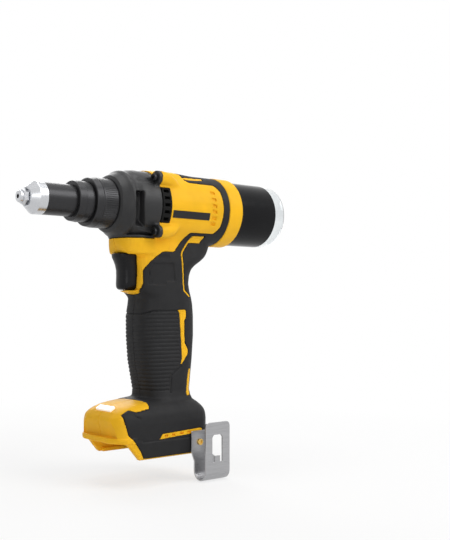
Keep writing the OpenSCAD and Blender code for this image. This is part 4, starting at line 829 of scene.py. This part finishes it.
def relief(x, y, z):
    """Height to take off the overmould's face."""
    ribs = ease(-outline(x, z, RIB_AREA), *RIB_START)
    wave = 0.5 + 0.5 * np.cos(2 * math.pi * (z - RIB_TOP[-1][1]) / RIB_PITCH)
    off = RIB_DEPTH * ribs * wave ** RIB_SHARPNESS
    off = off + groove(line(x, z, RIB_TOP), RIB_EDGE_WIDTH, RIB_EDGE_DEPTH)
    off = off + groove(line(x, z, RIB_BACK[1:]), RIB_EDGE_WIDTH, RIB_EDGE_DEPTH)
    off = off + THUMB_DEPTH * ease(-outline(x, z, THUMB), 0, THUMB_EDGE)
    foot = ease(y, *FOOT_SIDE_Y)
    off = off + foot * groove(line(x, z, FOOT_CREASE), FOOT_CREASE_WIDTH, FOOT_CREASE_DEPTH)
    off = off + foot * FOOT_SINK * ease(z, *FOOT_SINK_LOW) * ease(-z, *FOOT_SINK_HIGH)
    off = off + groove(line(x, z, FOOT_DIMPLE), FOOT_DIMPLE_WIDTH, FOOT_DIMPLE_DEPTH)
    hole = TOP_HOLE_DEPTH * ease(TOP_HOLE_R - np.hypot(x - TOP_HOLE_X, y), 0, TOP_HOLE_EDGE)
    return off + np.where(z > TOP_HOLE_FROM_Z, hole, 0)


def black(side):
    def field(x, y, z):
        skin = outside(x, y, z)
        where = cover(x, y, z) + SEAM
        face = skin - PROUD + relief(x, np.abs(y), z)
        body = soft_max(face, where, COVER_EDGE)
        body = np.maximum(body, -(skin + SKIN - OVERLAP))
        body = np.maximum(body, BARREL_R - WALL - np.hypot(y, z))
        body = openings(body, x, y, z)
        body = np.maximum(body, BARREL_X[0] - x)
        body = np.maximum(body, np.abs(y) - FOOT_HALF)
        return np.maximum(body, HALF_GAP - side * y)
    return field


# Gear case
CASE_X = [-133, -118, -113, -108, -104, -102, -99.5, -97.3, -93.4, -91.8]
CASE_R = [34.0, 34.0, 33.4, 31.6, 32.4, 31.8, 29.8, 28.6, 26.8, 24.2]
CASE_FLANGE = -128.8
CASE_FLAT = -31.6
CASE_BORE_X = [-161, -120.2, -120, -104.9, -104.7, -74]
CASE_BORE_R = [25.2, 25.2, 21.2, 21.2, 13.3, 13.3]
CASE_TAIL_R = 26.9
CASE_TAIL_X = (-161.0, -131.0)
CASE_NECK_R = 17.6
CASE_NECK_X = (-93.0, -74.15)
CASE_RECESS_X = (-112.6, -103.8)
CASE_RECESS_Z = (-23.5, 10.6)
CASE_RECESS_R = 25.2
CASE_RECESS_BOW = 0.0132
CASE_RECESS_RISE = (-25.0, -14.0)
CASE_HEAD_R = 5.6
CASE_SWEEP = 3.0
CASE_STEEP = 0.85
CASE_RECESS_FROM_Y = 10.0
CASE_SCREW_R = 2.2
CASE_EDGE = 0.8
CASE_EAR_EDGE = 1.2
CASE_RECESS_CORNER = 2.0
CASE_RECESS_FLOOR = 1.5
CASE_RECESS_RIM = 1.2
CASE_PLATE_Z = (-31.6, -29.1)
CASE_PLATE_OUT = 0.5
CASE_PLATE_EDGE = 1.0


def case(x, y, z):
    y = np.abs(y)
    r = np.hypot(y, z)
    body = CASE_STEEP * (r - np.interp(x, CASE_X, CASE_R))
    body = np.maximum(body, span(x, CASE_X[0], CASE_X[-1]))
    for ear_y, ear_z in EAR_AT:
        ear = np.hypot(y - ear_y, z - ear_z) - EAR_R
        ear = soft_max(ear, span(x, CASE_X[0], CASE_FLANGE), CASE_EAR_EDGE)
        body = soft_min(body, ear, CASE_SWEEP)
    rise = ease(-z, -CASE_RECESS_RISE[1], -CASE_RECESS_RISE[0])
    floor = CASE_RECESS_R + (CASE_R[0] - CASE_RECESS_R) * rise
    along = span(x + CASE_RECESS_BOW * z * z, *CASE_RECESS_X)
    recess = soft_max(along, span(z, *CASE_RECESS_Z), CASE_RECESS_CORNER)
    recess = np.maximum(recess, CASE_RECESS_FROM_Y - y)
    recess = soft_max(recess, floor - r, CASE_RECESS_FLOOR)
    body = soft_max(body, -recess, CASE_RECESS_RIM)
    for ear_y, ear_z in EAR_AT:
        head = np.hypot(y - ear_y, z - ear_z) - CASE_HEAD_R
        body = soft_max(body, -np.maximum(head, CASE_FLANGE - x), CASE_EDGE)
        hole = np.hypot(y - ear_y, z - ear_z) - CASE_SCREW_R
        body = np.maximum(body, -hole)
    plate = np.maximum(shell_front(x, y, CHIN_MIDDLE, CHIN_R + CASE_PLATE_OUT), CASE_X[0] - x)
    plate = soft_max(plate, span(z, *CASE_PLATE_Z), CASE_PLATE_EDGE)
    body = soft_min(body, plate, CASE_PLATE_EDGE)
    body = soft_max(body, CASE_FLAT - z, CASE_EDGE)
    body = np.minimum(body, np.maximum(r - CASE_TAIL_R, span(x, *CASE_TAIL_X)))
    body = np.minimum(body, np.maximum(r - CASE_NECK_R, span(x, *CASE_NECK_X)))
    return np.maximum(body, np.interp(x, CASE_BORE_X, CASE_BORE_R) - r)


# Trigger
TRIGGER_TOP = -46.1
TRIGGER_BACK = -122.5
TRIGGER_PROFILE_Z = [-81, -75, -68, -62, -57, -53, -50, -46]
TRIGGER_PROFILE_X = [-105.6, -106.4, -106.7, -106.6, -105.4, -103.6, -101.9, -101.2]
TRIGGER_CROWN = 3.0
TRIGGER_EDGE = 4.5
TRIGGER_TOP_EDGE = 1.5
TRIGGER_STEEP = 0.85
TRIGGER_POCKET_R = 3.0
TRIGGER_POCKET = ((-140, -7.6, -77.0), (-114.5, 7.6, -50.5))


def trigger(x, y, z):
    y = np.abs(y)
    front = np.interp(z, TRIGGER_PROFILE_Z, TRIGGER_PROFILE_X)
    front = front - TRIGGER_CROWN * (y / TRIGGER_HALF) ** 2
    body = soft_max(TRIGGER_STEEP * (x - front), trigger_section(y, z), TRIGGER_EDGE)
    body = soft_max(body, z - TRIGGER_TOP, TRIGGER_TOP_EDGE)
    body = np.maximum(body, TRIGGER_BACK - x)
    return np.maximum(body, -box(x, y, z, *TRIGGER_POCKET, TRIGGER_POCKET_R))


# Belt hook: a bent strip, described by its flat pattern and its section
HOOK_T = 1.6
HOOK_Y = 37.5
HOOK_BEND_R = 7.45
HOOK_BEND_Z = -253.95
HOOK_HOLE_PLAY = 0.15
HOOK_EDGE = 0.5
HOOK_PLATE = [
    (-198.3, -211), (-197.6, -208.8), (-196.2, -207.5), (-194.3, -207), (-171.3, -207), (-169.2, -207.7),
    (-168.1, -209.2), (-167.8, -211), (-167.8, -270), (-198.3, -270),
]
HOOK_WINDOW = [
    (-188.8, -221.5), (-186.8, -219), (-178.3, -219), (-176.3, -221.5), (-176.3, -245), (-179.2, -245),
    (-179.2, -239), (-186, -239), (-186, -245), (-188.8, -245),
]
HOOK_LEG = [
    (-182.3, -216), (-164.3, -216), (-164.3, -236), (-167.8, -245), (-167.8, -270), (-198.3, -270),
    (-198.3, -246), (-182.3, -234.5),
]


def hook(x, y, z):
    middle = HOOK_Y + HOOK_T + HOOK_BEND_R
    reach = HOOK_BEND_R + HOOK_T / 2
    bend = np.abs(np.hypot(y - middle, z - HOOK_BEND_Z) - reach)
    legs = np.abs(np.abs(y - middle) - reach)
    sheet = np.where(z < HOOK_BEND_Z, bend, legs) - HOOK_T / 2
    plate = outline(x, z, HOOK_PLATE)
    plate = np.maximum(plate, -outline(x, z, HOOK_WINDOW))
    leg = outline(x, z, HOOK_LEG)
    hole = HOOK_SCREW_R + HOOK_HOLE_PLAY - np.hypot(x - HOOK_SCREW[0], z - HOOK_SCREW[1])
    leg = np.maximum(leg, hole)
    low = np.maximum(plate, leg)
    cut = np.where(z < HOOK_BEND_Z, low, np.where(y > middle, plate, leg))
    return soft_max(sheet, cut, HOOK_EDGE)


# Boxes that each hold one piece
BODY_LOW = (-218, -39, -239)
BODY_HIGH = (-79, 39, 39)
CASE_BOX = ((-161, -36, -33), (-74, 36, 36))
TRIGGER_BOX = ((-123, -12, -81), (-100, 12, -45))
HOOK_BOX = ((-199, 37, -264), (-164, 57, -206))


def build_pieces():
    for side, word in ((1, "left"), (-1, "right")):
        low = (BODY_LOW[0], 0 if side > 0 else BODY_LOW[1], BODY_LOW[2])
        high = (BODY_HIGH[0], BODY_HIGH[1] if side > 0 else 0, BODY_HIGH[2])
        shell = piece(
            f"housing_{word}_shell", yellow(side), low, high, BODY_STEP,
            LOOKS["yellow_plastic"], "yellow_plastic", "tool_body"
        )
        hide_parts(f"housing_{word}")
        grip = piece(
            f"grip_{word}_cover", black(side), low, high, BODY_STEP,
            LOOKS["black_rubber"], "black_rubber", "tool_body"
        )
        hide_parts(f"grip_{word}")
    cast = piece(
        "gear_case_casting", case, *CASE_BOX, CASE_STEP,
        LOOKS["grey_plastic"], "grey_plastic", "tool_body"
    )
    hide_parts("gear_case")
    lever = piece(
        "trigger_lever", trigger, *TRIGGER_BOX, SMALL_STEP,
        LOOKS["trigger_black"], "black_plastic", "trigger_group"
    )
    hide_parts("trigger")
    strip = piece(
        "belt_hook_strip", hook, *HOOK_BOX, SMALL_STEP,
        LOOKS["hook_steel"], "bright_steel", "tool_body"
    )
    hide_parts("belt_hook")


# Small rounded edges on the CAD nodes that stay visible
EDGE_R = 0.25
EDGE_ANGLE = math.radians(40)
ROUNDED = (
    "nosepiece", "nose_cap", "nose_sleeve", "sleeve_ring", "rear_ring", "collection_bottle",
    "vent_insert_left", "vent_insert_right", "label_left", "label_right", "gear_case_screws",
    "work_light_lens", "terminal_block", "belt_hook_screw",
)


def dress_nodes():
    for part in frame["record"]["subparts"]:
        name = part["node"]
        look = OWN_LOOKS.get(name, part["material_slot"])
        obj = frame["nodes"][name]
        dress(obj, LOOKS[look])
        if name in ROUNDED:
            bevel = obj.modifiers.new("edges", "BEVEL")
            bevel.width = EDGE_R * MM
            bevel.segments = 2
            bevel.limit_method = "ANGLE"
            bevel.angle_limit = EDGE_ANGLE
        keep_creases(obj)


# Floor, light and background
FLOOR_HALF = 4.0
FLOOR_DROP = 0.0005
FLOOR_WHITE = 0.7
FLOOR_COLOUR = (0.9, 0.9, 0.9, 1)
FLOOR_ROUGH = 0.9
FLOOR_GLOSS = 0.1
FADE = (0.45, 0.8)


def add_floor():
    drop = CAD_BOX[0][2] - FLOOR_DROP
    mesh = bpy.data.meshes.new("floor")
    h = FLOOR_HALF
    mesh.from_pydata([(-h, -h, drop), (h, -h, drop), (h, h, drop), (-h, h, drop)], [], [(0, 1, 2, 3)])
    obj = bpy.data.objects.new("floor", mesh)
    bpy.context.collection.objects.link(obj)
    material = bpy.data.materials.new("floor_white")
    material.use_nodes = True
    nodes = material.node_tree.nodes
    link = material.node_tree.links.new
    matt = nodes["Principled BSDF"]
    matt.inputs["Base Color"].default_value = FLOOR_COLOUR
    matt.inputs["Roughness"].default_value = FLOOR_ROUGH
    matt.inputs["Specular IOR Level"].default_value = FLOOR_GLOSS
    white = nodes.new("ShaderNodeEmission")
    mix = nodes.new("ShaderNodeMixShader")
    seen = seen_rays(nodes, link)
    place = nodes.new("ShaderNodeTexCoord")
    far = nodes.new("ShaderNodeVectorMath")
    far.operation = "LENGTH"
    fade = nodes.new("ShaderNodeMapRange")
    fade.inputs["From Min"].default_value = FADE[0]
    fade.inputs["From Max"].default_value = FADE[1]
    fade.inputs["To Min"].default_value = FLOOR_WHITE
    share = nodes.new("ShaderNodeMath")
    share.operation = "MULTIPLY"
    link(place.outputs["Object"], far.inputs[0])
    link(far.outputs["Value"], fade.inputs["Value"])
    link(fade.outputs["Result"], share.inputs[1])
    link(seen, share.inputs[0])
    link(share.outputs[0], mix.inputs["Fac"])
    link(matt.outputs["BSDF"], mix.inputs[1])
    link(white.outputs["Emission"], mix.inputs[2])
    link(mix.outputs["Shader"], nodes["Material Output"].inputs["Surface"])
    mesh.materials.append(material)


def seen_rays(nodes, link):
    """One for camera, mirror and glass rays, which see the white background."""
    rays = nodes.new("ShaderNodeLightPath")
    first = nodes.new("ShaderNodeMath")
    first.operation = "MAXIMUM"
    second = nodes.new("ShaderNodeMath")
    second.operation = "MAXIMUM"
    link(rays.outputs["Is Camera Ray"], first.inputs[0])
    link(rays.outputs["Is Glossy Ray"], first.inputs[1])
    link(first.outputs[0], second.inputs[0])
    link(rays.outputs["Is Transmission Ray"], second.inputs[1])
    return second.outputs[0]


WORLD_LIGHT = 0.3


def add_world():
    world = bpy.data.worlds.new("white_room")
    world.use_nodes = True
    nodes = world.node_tree.nodes
    link = world.node_tree.links.new
    soft = nodes["Background"]
    soft.inputs["Color"].default_value = (1, 1, 1, 1)
    soft.inputs["Strength"].default_value = WORLD_LIGHT
    white = nodes.new("ShaderNodeBackground")
    white.inputs["Color"].default_value = (1, 1, 1, 1)
    white.inputs["Strength"].default_value = 1.0
    mix = nodes.new("ShaderNodeMixShader")
    link(seen_rays(nodes, link), mix.inputs["Fac"])
    link(soft.outputs["Background"], mix.inputs[1])
    link(white.outputs["Background"], mix.inputs[2])
    link(mix.outputs["Shader"], nodes["World Output"].inputs["Surface"])
    bpy.context.scene.world = world


# Lamps: place, size, power
LAMPS = {
    "key": ((-0.75, 1.0, 0.85), 0.9, 9.5),
    "fill": ((0.9, 1.2, 0.25), 1.0, 4),
    "top": ((-0.1, 0.1, 1.2), 1.0, 7),
    "back": ((-0.6, -1.1, 0.6), 0.9, 6),
}
LOOK_AT = (-0.14, 0, -0.1)


def add_lamps():
    for name, (at, size, power) in LAMPS.items():
        data = bpy.data.lights.new(name, "AREA")
        data.shape = "DISK"
        data.size = size
        data.energy = power
        lamp = bpy.data.objects.new(name, data)
        lamp.location = at
        lamp.rotation_euler = (Vector(LOOK_AT) - Vector(at)).to_track_quat("-Z", "Y").to_euler()
        bpy.context.collection.objects.link(lamp)


add_camera()
dress_nodes()
build_pieces()
add_floor()
add_world()
add_lamps()
bpy.context.scene.view_settings.view_transform = "Standard"
